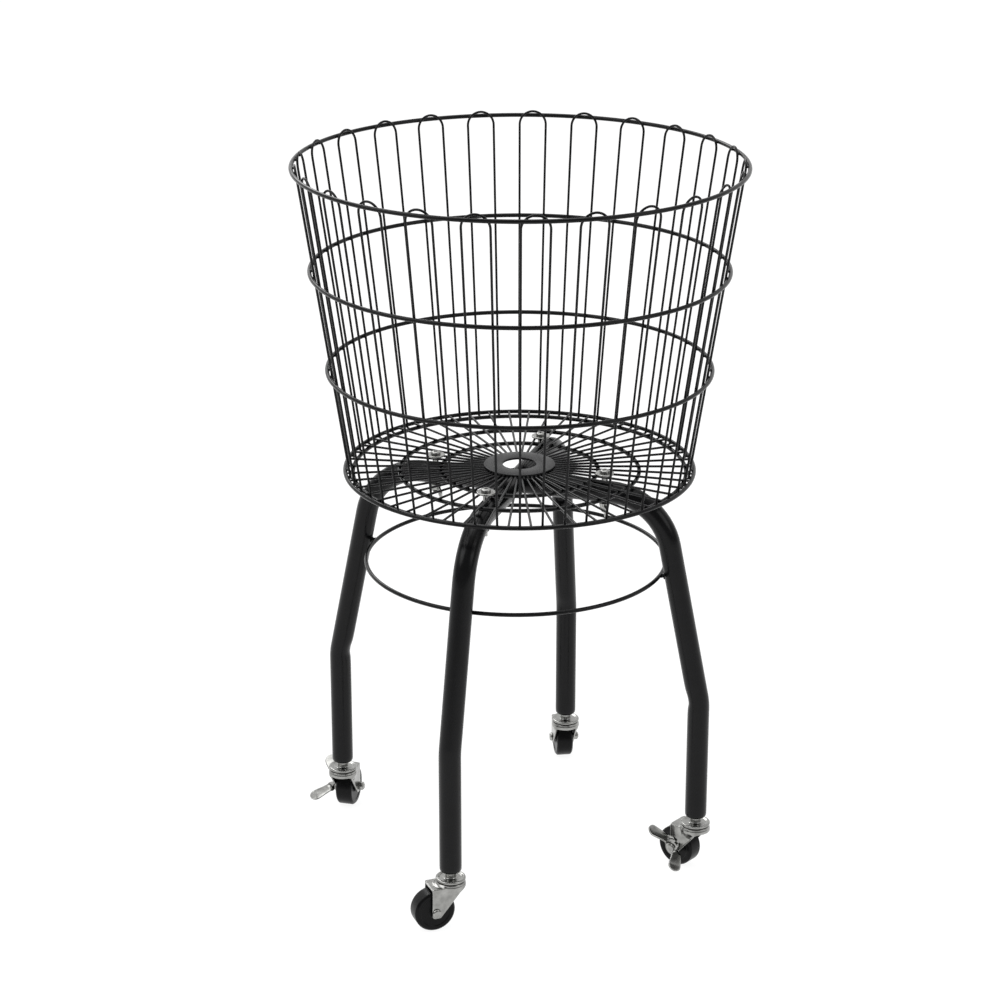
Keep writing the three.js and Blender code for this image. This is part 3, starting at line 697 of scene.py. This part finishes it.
def build_floor():
    edge = wall_radius(FLOOR_RING_HEIGHT) - WALL_WIRE / 2 - WELD_GAP - RING_WIRE / 2
    rings = {
        "floor_ring_edge": edge,
        "floor_ring_outer": BOLT_CIRCLE + OUTER_RING_OUTSET,
        "floor_ring_inner": BOLT_CIRCLE - INNER_RING_INSET,
    }
    for name, radius in rings.items():
        place(name, hoop(radius, FLOOR_RING_HEIGHT), COAT, STAND, ["floor_panel"])
    spokes = Shell()
    welds = Shell()
    start = DISC_RADIUS - SPOKE_LAP
    end = BASE_RADIUS - RING_WIRE / 2 - WELD_GAP
    stops = (start, start + SPOKE_ENDS[0], edge, end - SPOKE_ENDS[1], end)
    edge_weld = edge + (RING_WIRE + WELD_GAP) / 2
    for azimuth in WIRE_AZIMUTHS:
        out = polar(1, azimuth + HALF_PITCH)
        path = [radius * out + SPOKE_HEIGHT * UP for radius in stops]
        spokes.add_sweep(path, WALL_WIRE / 2, 12, domed=True)
        spot(welds, end + WELD_GAP / 2, azimuth + HALF_PITCH, SPOKE_HEIGHT, SPOKE_WELD)
        spot(welds, edge_weld, azimuth, FLOOR_RING_HEIGHT + EDGE_WELD_RISE, EDGE_WELD)
    place("floor_spokes", spokes, COAT, STAND, ["floor_panel"])
    place("floor_welds", welds, COAT, STAND)
    low = SPOKE_TOP - WELD_SINK
    section = rectangle(DISC_HOLE_RADIUS, DISC_RADIUS, low, low + DISC_THICKNESS)
    disc = Shell().add_turned(fillet(section, DISC_EDGE, loop=True), 96, loop=True)
    place("floor_disc", disc, COAT, STAND, ["floor_panel"])


# Tube stand

def leg_axis(height):
    """How far out the axis of a leg is at a height above its kink."""
    return LEG_SPREAD - (height - KINK_HEIGHT) * tan(SPLAY)


def sway_at(leg, height):
    """How far aside a leg is at a height above its kink."""
    return leg.sway * (TUBE_HEIGHT - height) / (TUBE_HEIGHT - KINK_HEIGHT)


def leg_place(leg):
    """The stand's axis, with X along a leg."""
    return STAND_PLACE @ spin(radians(leg.azimuth))


def leg_path(leg, side=1):
    """Corner points of a leg, from its foot up to the shoulder."""
    return [
        Vector((side * LEG_SPREAD, side * leg.sway, TUBE_END)),
        Vector((side * LEG_SPREAD, side * leg.sway, KINK_HEIGHT)),
        Vector((side * SHOULDER_REACH, 0, TUBE_HEIGHT)),
    ]


def tube_rings(path, sides=32):
    """Rings of a leg tube with the dent inside each kink."""
    rings = []
    for point, (across, up) in zip(path, frames(path)):
        ring = [point + x * across + y * up for x, y in circle(TUBE_RADIUS, sides)]
        away = (point.z - KINK_HEIGHT - DENT_RISE) / DENT_LENGTH
        depth = DENT_DEPTH / (1 + away ** 4) if abs(away) < DENT_FADE else 0
        inward = -1 if point.x > 0 else 1
        for p in ring:
            facing = max(0, (p.x - point.x) * inward / TUBE_RADIUS)
            p.x -= inward * depth * facing ** 2
        rings.append(ring)
    return rings


def finer(path, stretch):
    """The path with extra points where two are further apart than a stretch."""
    made = [path[0]]
    for a, b in zip(path, path[1:]):
        count = max(1, round((b - a).length / stretch))
        made += [a.lerp(b, (i + 1) / count) for i in range(count)]
    return made


def foot_rings(ring, steps=6):
    """The rounded foot of a tube, from its flat end upwards."""
    middle = sum(ring, Vector()) / len(ring)
    made = []
    for i in range(steps):
        angle = pi / 2 * i / steps
        inset = TUBE_END_ROUND * (1 - sin(angle))
        rise = TUBE_END_ROUND * (1 - cos(angle))
        made.append([middle + (p - middle) * (1 - inset / TUBE_RADIUS) + rise * UP for p in ring])
    return made


def stand_tube(corners, bends):
    """The two end rings of a bent tube, and its rings above the rounded feet."""
    path = finer(fillet(corners, [0, *bends, 0], steps=14), TUBE_STEP)
    rings = tube_rings(path)
    kept = [ring for ring, point in zip(rings, path) if point.z > TUBE_END + TUBE_END_ROUND]
    return (rings[0], rings[-1]), kept


def crossing_side(rise):
    """How far the side of the crossing tube is from its axis, at a rise above that axis."""
    return sqrt(max(0.0, TUBE_RADIUS ** 2 - rise ** 2))


def saddle(rings):
    """Moves the last ring of a leg onto the side of the crossing tube."""
    for p in rings[-1]:
        p.x = crossing_side(p.z - TUBE_HEIGHT)
    return rings


def bead_mesh():
    """A weld bead with a light ripple, round the end of a butted tube."""
    seam = []
    for x, y in circle(TUBE_RADIUS, 8 * BEAD_RIPPLES):
        height = TUBE_HEIGHT + BEAD_STRETCH * y
        seam.append(Vector((crossing_side(y) + BEAD_SHIFT, BEAD_STRETCH * x, height)))
    rings = []
    for i, (point, (across, up)) in enumerate(zip(seam, frames(seam, True))):
        swell = BEAD_RADIUS * (1 + BEAD_RIPPLE_HEIGHT * cos(2 * pi * BEAD_RIPPLES * i / len(seam)))
        rings.append([point + x * across + y * up for x, y in circle(swell, 10)])
    return Shell().add(rings, loop=True).mesh("leg_weld")


def build_stand():
    left = LEGS["left"]
    corners = leg_path(left) + leg_path(LEGS["right"], -1)[::-1]
    ends, kept = stand_tube(corners, [KINK_BEND, SHOULDER_BEND, SHOULDER_BEND, KINK_BEND])
    rings = foot_rings(ends[0]) + kept + foot_rings(ends[1])[::-1]
    tube = Shell().add(rings)
    place("leg_tube_crossing", tube, COAT, STAND, ["leg_tube_left_right"], leg_place(left))
    weld = bead_mesh()
    for side in ("front", "back"):
        leg = LEGS[side]
        corners = leg_path(leg) + [Vector((TUBE_RADIUS, 0, TUBE_HEIGHT))]
        ends, kept = stand_tube(corners, [KINK_BEND, SHOULDER_BEND])
        tube = Shell().add(saddle(foot_rings(ends[0]) + kept))
        matrix = leg_place(leg)
        place(f"leg_tube_{side}_round", tube, COAT, STAND, [f"leg_tube_{side}"], matrix)
        place(f"leg_weld_{side}", weld, COAT, STAND, matrix=matrix)


def build_leg_ring():
    face = leg_axis(LEG_RING_HEIGHT) - TUBE_RADIUS / cos(SPLAY)
    radius = face - LEG_RING_STUB - RING_WIRE / 2
    ring = hoop(radius, LEG_RING_HEIGHT)
    welds = Shell()
    for leg in LEGS.values():
        turn = Matrix.Rotation(radians(leg.azimuth), 3, "Z")
        out, along, up = (turn @ axis for axis in AXES)
        middle = sway_at(leg, LEG_RING_HEIGHT) * along + LEG_RING_HEIGHT * up
        ring.add_sweep([middle + radius * out, middle + (face + STUB_SINK) * out], RING_WIRE / 2, 14)
        for reach, sizes in ((face, STUB_LEG_WELD), (radius + STUB_RING_WELD_SHIFT, STUB_RING_WELD)):
            axes = (sizes[0] * along, sizes[1] * up, sizes[2] * out)
            welds.add_ball(middle + reach * out, axes, 14, 9)
    place("leg_ring_wire", ring, COAT, STAND, ["leg_ring"], STAND_PLACE)
    place("leg_ring_welds", welds, COAT, STAND, matrix=STAND_PLACE)


# Bolts and wing nuts

def recess_tool():
    """The tool that cuts a tapering cross into the head of a bolt."""
    tool = Shell()
    half_width = RECESS_WIDTH / 2
    for turn in (0, pi / 2):
        rings = []
        for height, share in ((BOLT_TOP + RECESS_OVERCUT, 1), (BOLT_TOP - RECESS_DEPTH, RECESS_TAPER)):
            half_length = RECESS_LENGTH / 2 * share
            corners = rectangle(-half_length, half_length, -half_width, half_width)
            rings.append([spin(turn) @ Vector((x, y, height)) for x, y in corners])
        tool.add(rings)
    return new_object("recess", tool.mesh("recess"))


def bolt_mesh():
    radius = BOLT_DIAMETER / 2
    root = radius - THREAD_DEPTH
    end = NUT_FLOOR - BOLT_TAIL
    profile = [(root - BOLT_END_TAPER, end)]
    height = end + THREAD_DEPTH
    while height < NUT_TOP:
        profile += [(root, height), (radius, height + THREAD_PITCH / 2)]
        height += THREAD_PITCH
    profile.append((radius, NUT_TOP + THREAD_PITCH))
    head = BOLT_HEAD_DIAMETER / 2
    profile += round_off([
        (radius, WASHER_TOP, 0),
        (head, WASHER_TOP, 0.25),
        (head, BOLT_TOP, 1.9),
        (AXIS_RADIUS, BOLT_TOP, 0),
    ], steps=8)
    mesh = Shell().add_turned(profile, 48).mesh("bolt")
    tool = recess_tool()
    settings = {"operation": "DIFFERENCE", "object": tool, "solver": "EXACT", "use_self": True}
    cut = with_modifiers(mesh, ("BOOLEAN", settings))
    bpy.data.objects.remove(tool)
    return smooth(cut)


def washer_mesh():
    hole = BOLT_DIAMETER / 2 + WASHER_CLEARANCE
    section = rectangle(hole, WASHER_DIAMETER / 2, WASHER_FLOOR, WASHER_TOP)
    profile = fillet(section, WASHER_ROUNDS, loop=True)
    return Shell().add_turned(profile, 64, loop=True).mesh("washer")


def wing_nut_mesh():
    hub = NUT_HUB_DIAMETER / 2
    bore = BOLT_DIAMETER / 2 + NUT_CLEARANCE
    profile = round_off([
        (bore, NUT_FLOOR, 0.3),
        (hub - NUT_HUB_TAPER, NUT_FLOOR, 0.8),
        (hub, NUT_TOP, 0.4),
        (bore, NUT_TOP, 0.3),
    ], loop=True)
    nut = Shell().add_turned(profile, 48, loop=True)
    root = bore + NUT_WING_ROOT
    tip = NUT_FLOOR - NUT_WING_DROP
    wing = round_off([
        (root, NUT_TOP - NUT_WING_TOP, 0),
        (hub + NUT_WING_SHOULDER, NUT_TOP - NUT_WING_TOP, 3),
        (NUT_WING_REACH, NUT_FLOOR + NUT_WING_CORNER, 2),
        (NUT_WING_REACH, tip, 2.4),
        (hub + NUT_WING_TOE, tip, 2.4),
        (root, NUT_FLOOR + NUT_WING_FOOT, 0),
    ], loop=True, steps=6)
    for turn in (0, pi):
        upright = spin(turn) @ Matrix.Rotation(pi / 2, 4, "X")
        nut.add_prism(wing, -NUT_WING_THICKNESS / 2, NUT_WING_THICKNESS / 2, upright)
    return bevelled(nut.mesh("wing_nut"), NUT_BEVEL)


def bolt_place(leg):
    reach = BOLT_CIRCLE * cos(HALF_PITCH) if leg.butt else BOLT_CIRCLE
    along = reach - STAND_SHIFT * cos(radians(leg.azimuth) - LEFT_AZIMUTH)
    return leg_place(leg) @ Matrix.Translation((along, leg.butt * BOLT_ASIDE, 0))


def build_bolts():
    bolt = bolt_mesh()
    washer = washer_mesh()
    nut = wing_nut_mesh()
    for i, (side, leg) in enumerate(LEGS.items()):
        matrix = bolt_place(leg)
        driven = matrix @ spin(BOLT_TURN + BOLT_TURN_STEP * i)
        tightened = matrix @ spin(radians(leg.nut))
        place(f"bolt_{side}", bolt, ZINC, STAND, [f"floor_bolt_{side}"], driven)
        place(f"washer_{side}", washer, ZINC, STAND, [f"floor_bolt_{side}"], matrix)
        place(f"winged_nut_{side}", nut, ZINC, STAND, [f"wing_nut_{side}"], tightened)


# Casters, about the stem's axis, with the wheel trailing towards +X and the left side at +Y

ON_AXLE = Matrix.Translation((TRAIL, 0, AXLE_HEIGHT)) @ Matrix.Rotation(-pi / 2, 4, "X")


def stem_mesh():
    pin = KINGPIN_DIAMETER / 2
    head = KINGPIN_HEAD_DIAMETER / 2
    head_top = BRIDGE_HEIGHT - SEAT_GAP
    head_floor = head_top - KINGPIN_HEAD_HEIGHT
    neck = NECK_DIAMETER / 2
    neck_top = TUBE_END + NECK_SINK
    dish = CAP_TOP - CAP_DISH
    lip = CAP_RADIUS - CAP_LIP
    profile = round_off([
        (AXIS_RADIUS, head_floor, 0),
        (head, head_floor, 0.5),
        (head, head_top, 0.2),
        (pin, head_top, 0.2),
        (pin, CAP_FLOOR, 0.2),
        (CAP_RADIUS, CAP_FLOOR, 0.7),
        (CAP_RADIUS, CAP_TOP, 1.3),
        (lip, CAP_TOP, 1.8),
        (lip - CAP_SLOPE, dish, 1.8),
        (neck, dish, 1.8),
        (neck, neck_top, 0.3),
        (AXIS_RADIUS, neck_top, 0),
    ], steps=6)
    return Shell().add_turned(profile, 72).mesh("caster_cap")


def cage_mesh():
    """The ring of balls in the swivel gap, with the ring that holds them."""
    low = RACE_TOP + CAGE_CLEARANCE
    high = CAP_FLOOR - CAGE_CLEARANCE
    outer = CAP_RADIUS - CAGE_INSET
    cage = Shell().add_turned(rectangle(outer - CAGE_WIDTH, outer, low, high), 72, loop=True)
    radius = (high - low) / 2
    axes = [radius * axis for axis in AXES]
    for x, y in circle(outer, CAGE_BALLS):
        cage.add_ball(Vector((x, y, low + radius)), axes)
    return cage.mesh("ball_cage")


def turned_to(section, angle):
    """A section of (radius, height) points, turned about Z."""
    return [polar(radius, angle, height) for radius, height in section]


def skirt_sections(steps=40):
    """Sections of the rim round the front of the disc, which runs down into the cheeks on both sides."""
    start = asin(CHEEK_OUTSIDE / FORK_DISC_RADIUS)
    top = FORK_TOP - FORK_EDGE
    rings = []
    for i in range(steps + 1):
        angle = start + 2 * (pi - start) * i / steps
        rise = abs(sin(angle))
        flank = rise ** FLANK_POWER if cos(angle) < 0 else 1
        cheek = CHEEK_OUTSIDE / max(rise, FLANK_LIMIT)
        foot = FORK_DISC_RADIUS - (FORK_DISC_RADIUS - cheek) * flank
        low = BRIDGE_HEIGHT - FORK_SKIRT - FORK_FLANK * flank
        inside = foot - FORK_SHEET
        section = [
            (FORK_DISC_RADIUS, top),
            (FORK_DISC_RADIUS, BRIDGE_HEIGHT - FORK_SKIRT / 2),
            (foot, low),
            (inside, low),
            (inside, top),
        ]
        rings.append(turned_to(section, angle))
    return rings


def emboss_sections(steps=24):
    """Sections of the slope from the shelf up to the race, behind the disc."""
    end = asin(CHEEK_OUTSIDE / FORK_DISC_RADIUS)
    floor = FORK_TOP - EMBOSS_SINK
    top = RACE_TOP - RACE_BEVEL
    inside = RACE_RADIUS - EMBOSS_LAP
    bend, bend_rise = EMBOSS_BEND
    rings = []
    for i in range(steps + 1):
        angle = end * (2 * i / steps - 1)
        width = EMBOSS_LEAST + EMBOSS_WIDTH * (1 - (angle / end) ** 2)
        section = [
            (inside, floor),
            (RACE_RADIUS + width, floor),
            (RACE_RADIUS + width, floor + EMBOSS_SINK),
            (RACE_RADIUS + bend * width, floor + bend_rise),
            (RACE_RADIUS, top),
            (inside, top),
        ]
        rings.append(turned_to(section, angle))
    return rings


def fork_mesh():
    bore = KINGPIN_DIAMETER / 2 + KINGPIN_CLEARANCE
    disc = [
        (bore, BRIDGE_HEIGHT),
        (FORK_DISC_RADIUS, BRIDGE_HEIGHT),
        (FORK_DISC_RADIUS, FORK_TOP - FORK_EDGE),
        (FORK_DISC_RADIUS - FORK_EDGE / 2, FORK_TOP),
        (RACE_RADIUS, FORK_TOP + RACE_STEP),
        (RACE_RADIUS, RACE_TOP - RACE_BEVEL),
        (RACE_RADIUS - RACE_BEVEL, RACE_TOP),
        (bore, RACE_TOP),
    ]
    form = Shell().add_turned(disc, 72, loop=True)
    form.add(skirt_sections())
    form.add(emboss_sections())
    shelf_end = TRAIL + FORK_BACK
    shelf = rectangle(bore + SHELF_CLEARANCE, shelf_end, -CHEEK_OUTSIDE, CHEEK_OUTSIDE)
    form.add_prism(fillet(shelf, SHELF_ROUNDS, loop=True), BRIDGE_HEIGHT, FORK_TOP)
    end = AXLE_HEIGHT - FORK_END
    cheek = round_off([
        (shelf_end - CHEEK_INSET, FORK_TOP, 0),
        (-FORK_NOSE, FORK_TOP, 0),
        (-FORK_NOSE, BRIDGE_HEIGHT - FORK_SKIRT, 1.5),
        (TRAIL - FORK_BACK, end, 2.6),
        (shelf_end, end, 3.4),
    ], loop=True, steps=8)
    upright = Matrix.Rotation(pi / 2, 4, "X")
    for side in (CHEEK_OUTSIDE, -CHEEK_INSIDE):
        form.add_prism(cheek, 0, FORK_SHEET, Matrix.Translation((0, side, 0)) @ upright)
    return melted(form.mesh("caster_fork"), voxel=0.4, rounds=12, keep=0.7)


def wheel_mesh():
    bore = AXLE_DIAMETER / 2 + WHEEL_BORE_CLEARANCE
    half = WHEEL_WIDTH / 2
    sunk = half - WHEEL_RECESS
    face = [
        (bore, half, 0.3),
        (WHEEL_HUB[0], half, 0.3),
        (WHEEL_HUB[1], sunk, 0.3),
        (WHEEL_RIM[0], sunk, 0.3),
        (WHEEL_RIM[1], half, 0.3),
        (WHEEL_RADIUS - WHEEL_SHOULDER, half, 1.2),
        (WHEEL_RADIUS, half - WHEEL_SHOULDER, 1.2),
    ]
    other_face = [(radius, -along, edge) for radius, along, edge in face]
    profile = round_off(other_face + face[::-1], loop=True)
    return Shell().add_turned(profile, 96, loop=True).mesh("caster_wheel")


def axle_mesh(has_lever):
    shank = AXLE_DIAMETER / 2
    head = AXLE_HEAD_DIAMETER / 2
    head_face = LEVER_INSIDE + LEVER_SHEET + SEAT_GAP if has_lever else LEVER_INSIDE
    head_end = head_face + AXLE_HEAD_HEIGHT
    end = AXLE_NUT_FACE - AXLE_NUT_HEIGHT - AXLE_TAIL
    profile = round_off([
        (AXIS_RADIUS, end, 0),
        (shank - AXLE_CHAMFER[0], end, 0),
        (shank, end + AXLE_CHAMFER[1], 0),
        (shank, head_face, 0),
        (head, head_face, 0.3),
        (head, head_end, 1.9),
        (AXIS_RADIUS, head_end, 0),
    ], steps=8)
    return Shell().add_turned(profile, 48).mesh("caster_axle")


def axle_nut_mesh():
    outline = circle(AXLE_NUT_WIDTH / 2 / cos(pi / 6), 6, AXLE_NUT_TURN)
    block = Shell().add_prism(outline, AXLE_NUT_FACE - AXLE_NUT_HEIGHT, AXLE_NUT_FACE)
    return bevelled(block.mesh("caster_axle_nut"), NUT_BEVEL)


def rounded_bar(half_width, half_height, steps=20):
    """Outline of a bar with rounded edges."""
    outline = []
    for x, y in circle(1, steps, pi / steps):
        outline.append((half_width * copysign(sqrt(abs(x)), x), half_height * copysign(sqrt(abs(y)), y)))
    return outline


def wing_line(flare):
    """Centre line of a wing from the hub to the tip, as distances from the axle's axis and from the hub."""
    tip = WING_LENGTH * Vector((cos(flare), sin(flare)))
    slope = (tip - Vector((WING_START, 0))).normalized()
    root = AXLE_DIAMETER / 2 + 2 * LEVER_BORE_CLEARANCE
    corners = [(root, 0), (WING_START, 0), tip + slope * WING_TIP]
    *bend, end = fillet(corners, [0, WING_BEND, 0], steps=6)
    shares = [sin(pi / 2 * (i + 1) / WING_STEPS) for i in range(WING_STEPS)]
    return bend + [bend[-1].lerp(end, share) for share in shares]


def wing_sections(angle, flare):
    """Rings across one wing of a lever, from the hub to the tip, drawn about Z with +Z away from the fork."""
    line = wing_line(flare)
    radial = Vector((cos(angle), -sin(angle), 0))
    beside = Vector((sin(angle), cos(angle), 0))
    raised = beside * (WING_RAISE if cos(angle) < 0 else -WING_RAISE)
    total = line[-1].length
    rings = []
    for i, point in enumerate(line):
        reach = point.length
        width = WING_WAIST + (WING_TIP - WING_WAIST) * ease(reach, WING_TURN[1], WING_LENGTH)
        if total - reach < WING_TIP:
            width *= sqrt(max(WING_TIP_END, 1 - ((WING_TIP - total + reach) / WING_TIP) ** 2))
        ahead = (line[min(i + 1, len(line) - 1)] - line[max(i - 1, 0)]).normalized()
        normal = radial * -ahead.y + UP * ahead.x
        twist = pi / 2 * ease(reach, *WING_TURN)
        broad = cos(twist) * beside + sin(twist) * normal
        thin = cos(twist) * normal - sin(twist) * beside
        centre = radial * point.x + UP * point.y + raised * max(0, 1 - reach / WING_LENGTH)
        ring = [centre + x * broad + y * thin for x, y in rounded_bar(width, LEVER_SHEET / 2)]
        sunk = -LEVER_SHEET / 2 - min(p.z for p in ring)  # into the cheek, where the ring is moved out
        rings.append([p + max(0, sunk) * UP for p in ring])
    return rings


def lever_mesh(rock):
    thick = LEVER_SHEET / 2
    bore = AXLE_DIAMETER / 2 + LEVER_BORE_CLEARANCE
    hub = fillet(rectangle(bore, LEVER_HUB_RADIUS, -thick, thick), LEVER_HUB_ROUNDS, loop=True)
    form = Shell().add_turned(hub, 64, loop=True)
    for angle, flare in WINGS:
        form.add(wing_sections(radians(angle + rock), radians(flare)))
    form.moved(Matrix.Translation((0, 0, LEVER_INSIDE + thick)))
    return form.mesh("brake_lever")


def build_casters():
    stem = stem_mesh()
    cage = cage_mesh()
    fork = fork_mesh()
    wheel = wheel_mesh()
    nut = axle_nut_mesh()
    plain_axle = axle_mesh(False)
    lever_axle = axle_mesh(True)
    for side, leg in LEGS.items():
        foot = leg_place(leg) @ Matrix.Translation((LEG_SPREAD, leg.sway, 0))
        caster = foot @ spin(radians(leg.trail - leg.azimuth))
        on_axle = caster @ ON_AXLE
        swivel = f"swivel_{side}"
        has_lever = leg.rock is not None
        axle = lever_axle if has_lever else plain_axle
        place(f"caster_cap_{side}", stem, ZINC, STAND, [f"caster_stem_{side}"], foot)
        # the ball cage's near-black finish is painted shade of the swivel gap
        place(f"ball_cage_{side}", cage, GREASE_AND_GAP_SHADE, swivel, matrix=caster)
        place(f"fork_{side}", fork, ZINC, swivel, [f"caster_fork_{side}"], caster)
        place(f"axle_{side}", axle, ZINC, swivel, [f"caster_axle_{side}"], on_axle)
        place(f"axle_nut_{side}", nut, ZINC, swivel, [f"caster_axle_{side}"], on_axle)
        place(f"wheel_{side}_round", wheel, PLASTIC, f"wheel_{side}", [f"caster_wheel_{side}"], on_axle)
        if has_lever:
            lever = lever_mesh(leg.rock)
            place(f"lever_{side}", lever, ZINC, f"brake_{side}", [f"brake_lever_{side}"], on_axle)


# Camera, stage and light

def aim(item, direction):
    item.rotation_mode = "QUATERNION"
    item.rotation_quaternion = direction.to_track_quat("-Z", "Y")


def make_camera():
    data = bpy.data.cameras.new("camera")
    data.lens = CAMERA_LENS
    data.sensor_width = CAMERA_SENSOR
    data.clip_start = 0.05
    data.clip_end = 100
    camera = new_object("camera", data)
    camera.location = MM * polar(CAMERA_DISTANCE, CAMERA_AZIMUTH, CAMERA_HEIGHT)
    level = CAMERA_AZIMUTH + pi + CAMERA_YAW
    aim(camera, polar(cos(CAMERA_PITCH), level, -sin(CAMERA_PITCH)))
    bpy.context.scene.camera = camera


def seen_directly(tree):
    """1 for rays from the camera and for reflections, and 0 for the rays that carry the light."""
    rays = node(tree, "ShaderNodeLightPath").outputs
    seen = rays["Is Camera Ray"]
    for kind in ("Is Glossy Ray", "Is Transmission Ray"):
        seen = node(tree, "ShaderNodeMath", {0: seen, 1: rays[kind]}, operation="MAXIMUM").outputs[0]
    return seen


def make_floor():
    mesh = Shell().add_prism(circle(STAGE_RADIUS, 64), STAGE_TOP, STAGE_BOTTOM).mesh("floor")
    floor = new_object("floor", mesh)
    material, tree, _ = new_material("pale_floor")
    tree.nodes.clear()
    paint = node(tree, "ShaderNodeBsdfDiffuse", {"Color": (0.85, 0.85, 0.85, 1)})
    glow = node(tree, "ShaderNodeEmission", {"Color": (1, 1, 1, 1), "Strength": STAGE_GLOW})
    share = node(tree, "ShaderNodeMath", {0: seen_directly(tree), 1: STAGE_GLOW_SHARE}, operation="MULTIPLY")
    inputs = {"Fac": share.outputs[0], 1: paint.outputs[0], 2: glow.outputs[0]}
    mixed = node(tree, "ShaderNodeMixShader", inputs)
    node(tree, "ShaderNodeOutputMaterial", {"Surface": mixed.outputs[0]})
    mesh.materials.append(material)


def make_world():
    """A studio that is white above and behind the bin, and dimmer on the camera's side."""
    world = bpy.data.worlds.new("studio")
    world.use_nodes = True
    tree = world.node_tree
    background = tree.nodes["Background"]
    background.inputs["Color"].default_value = (1, 1, 1, 1)
    direction = node(tree, "ShaderNodeTexCoord").outputs["Generated"]
    brightest = polar(-cos(BACKDROP_RISE), CAMERA_AZIMUTH, sin(BACKDROP_RISE))
    facing = node(tree, "ShaderNodeVectorMath", {0: direction, 1: brightest}, operation="DOT_PRODUCT")
    strength = map_range(tree, facing.outputs["Value"], (0, BACKDROP_FADE), (ROOM_DIM, 1))
    tree.links.new(strength, background.inputs["Strength"])
    bpy.context.scene.world = world


def make_lamps():
    for name, lamp in LAMPS.items():
        data = bpy.data.lights.new(name, "AREA")
        data.shape = "DISK"
        data.size = lamp.size * MM
        data.energy = lamp.power
        light = new_object(name, data)
        position = polar(lamp.distance, CAMERA_AZIMUTH + radians(lamp.turn), lamp.height)
        light.location = MM * position
        aim(light, LAMP_TARGET * UP - position)


make_camera()
build_wall()
build_floor()
build_stand()
build_leg_ring()
build_bolts()
build_casters()
make_floor()
make_world()
make_lamps()
bpy.context.scene.view_settings.view_transform = "Standard"
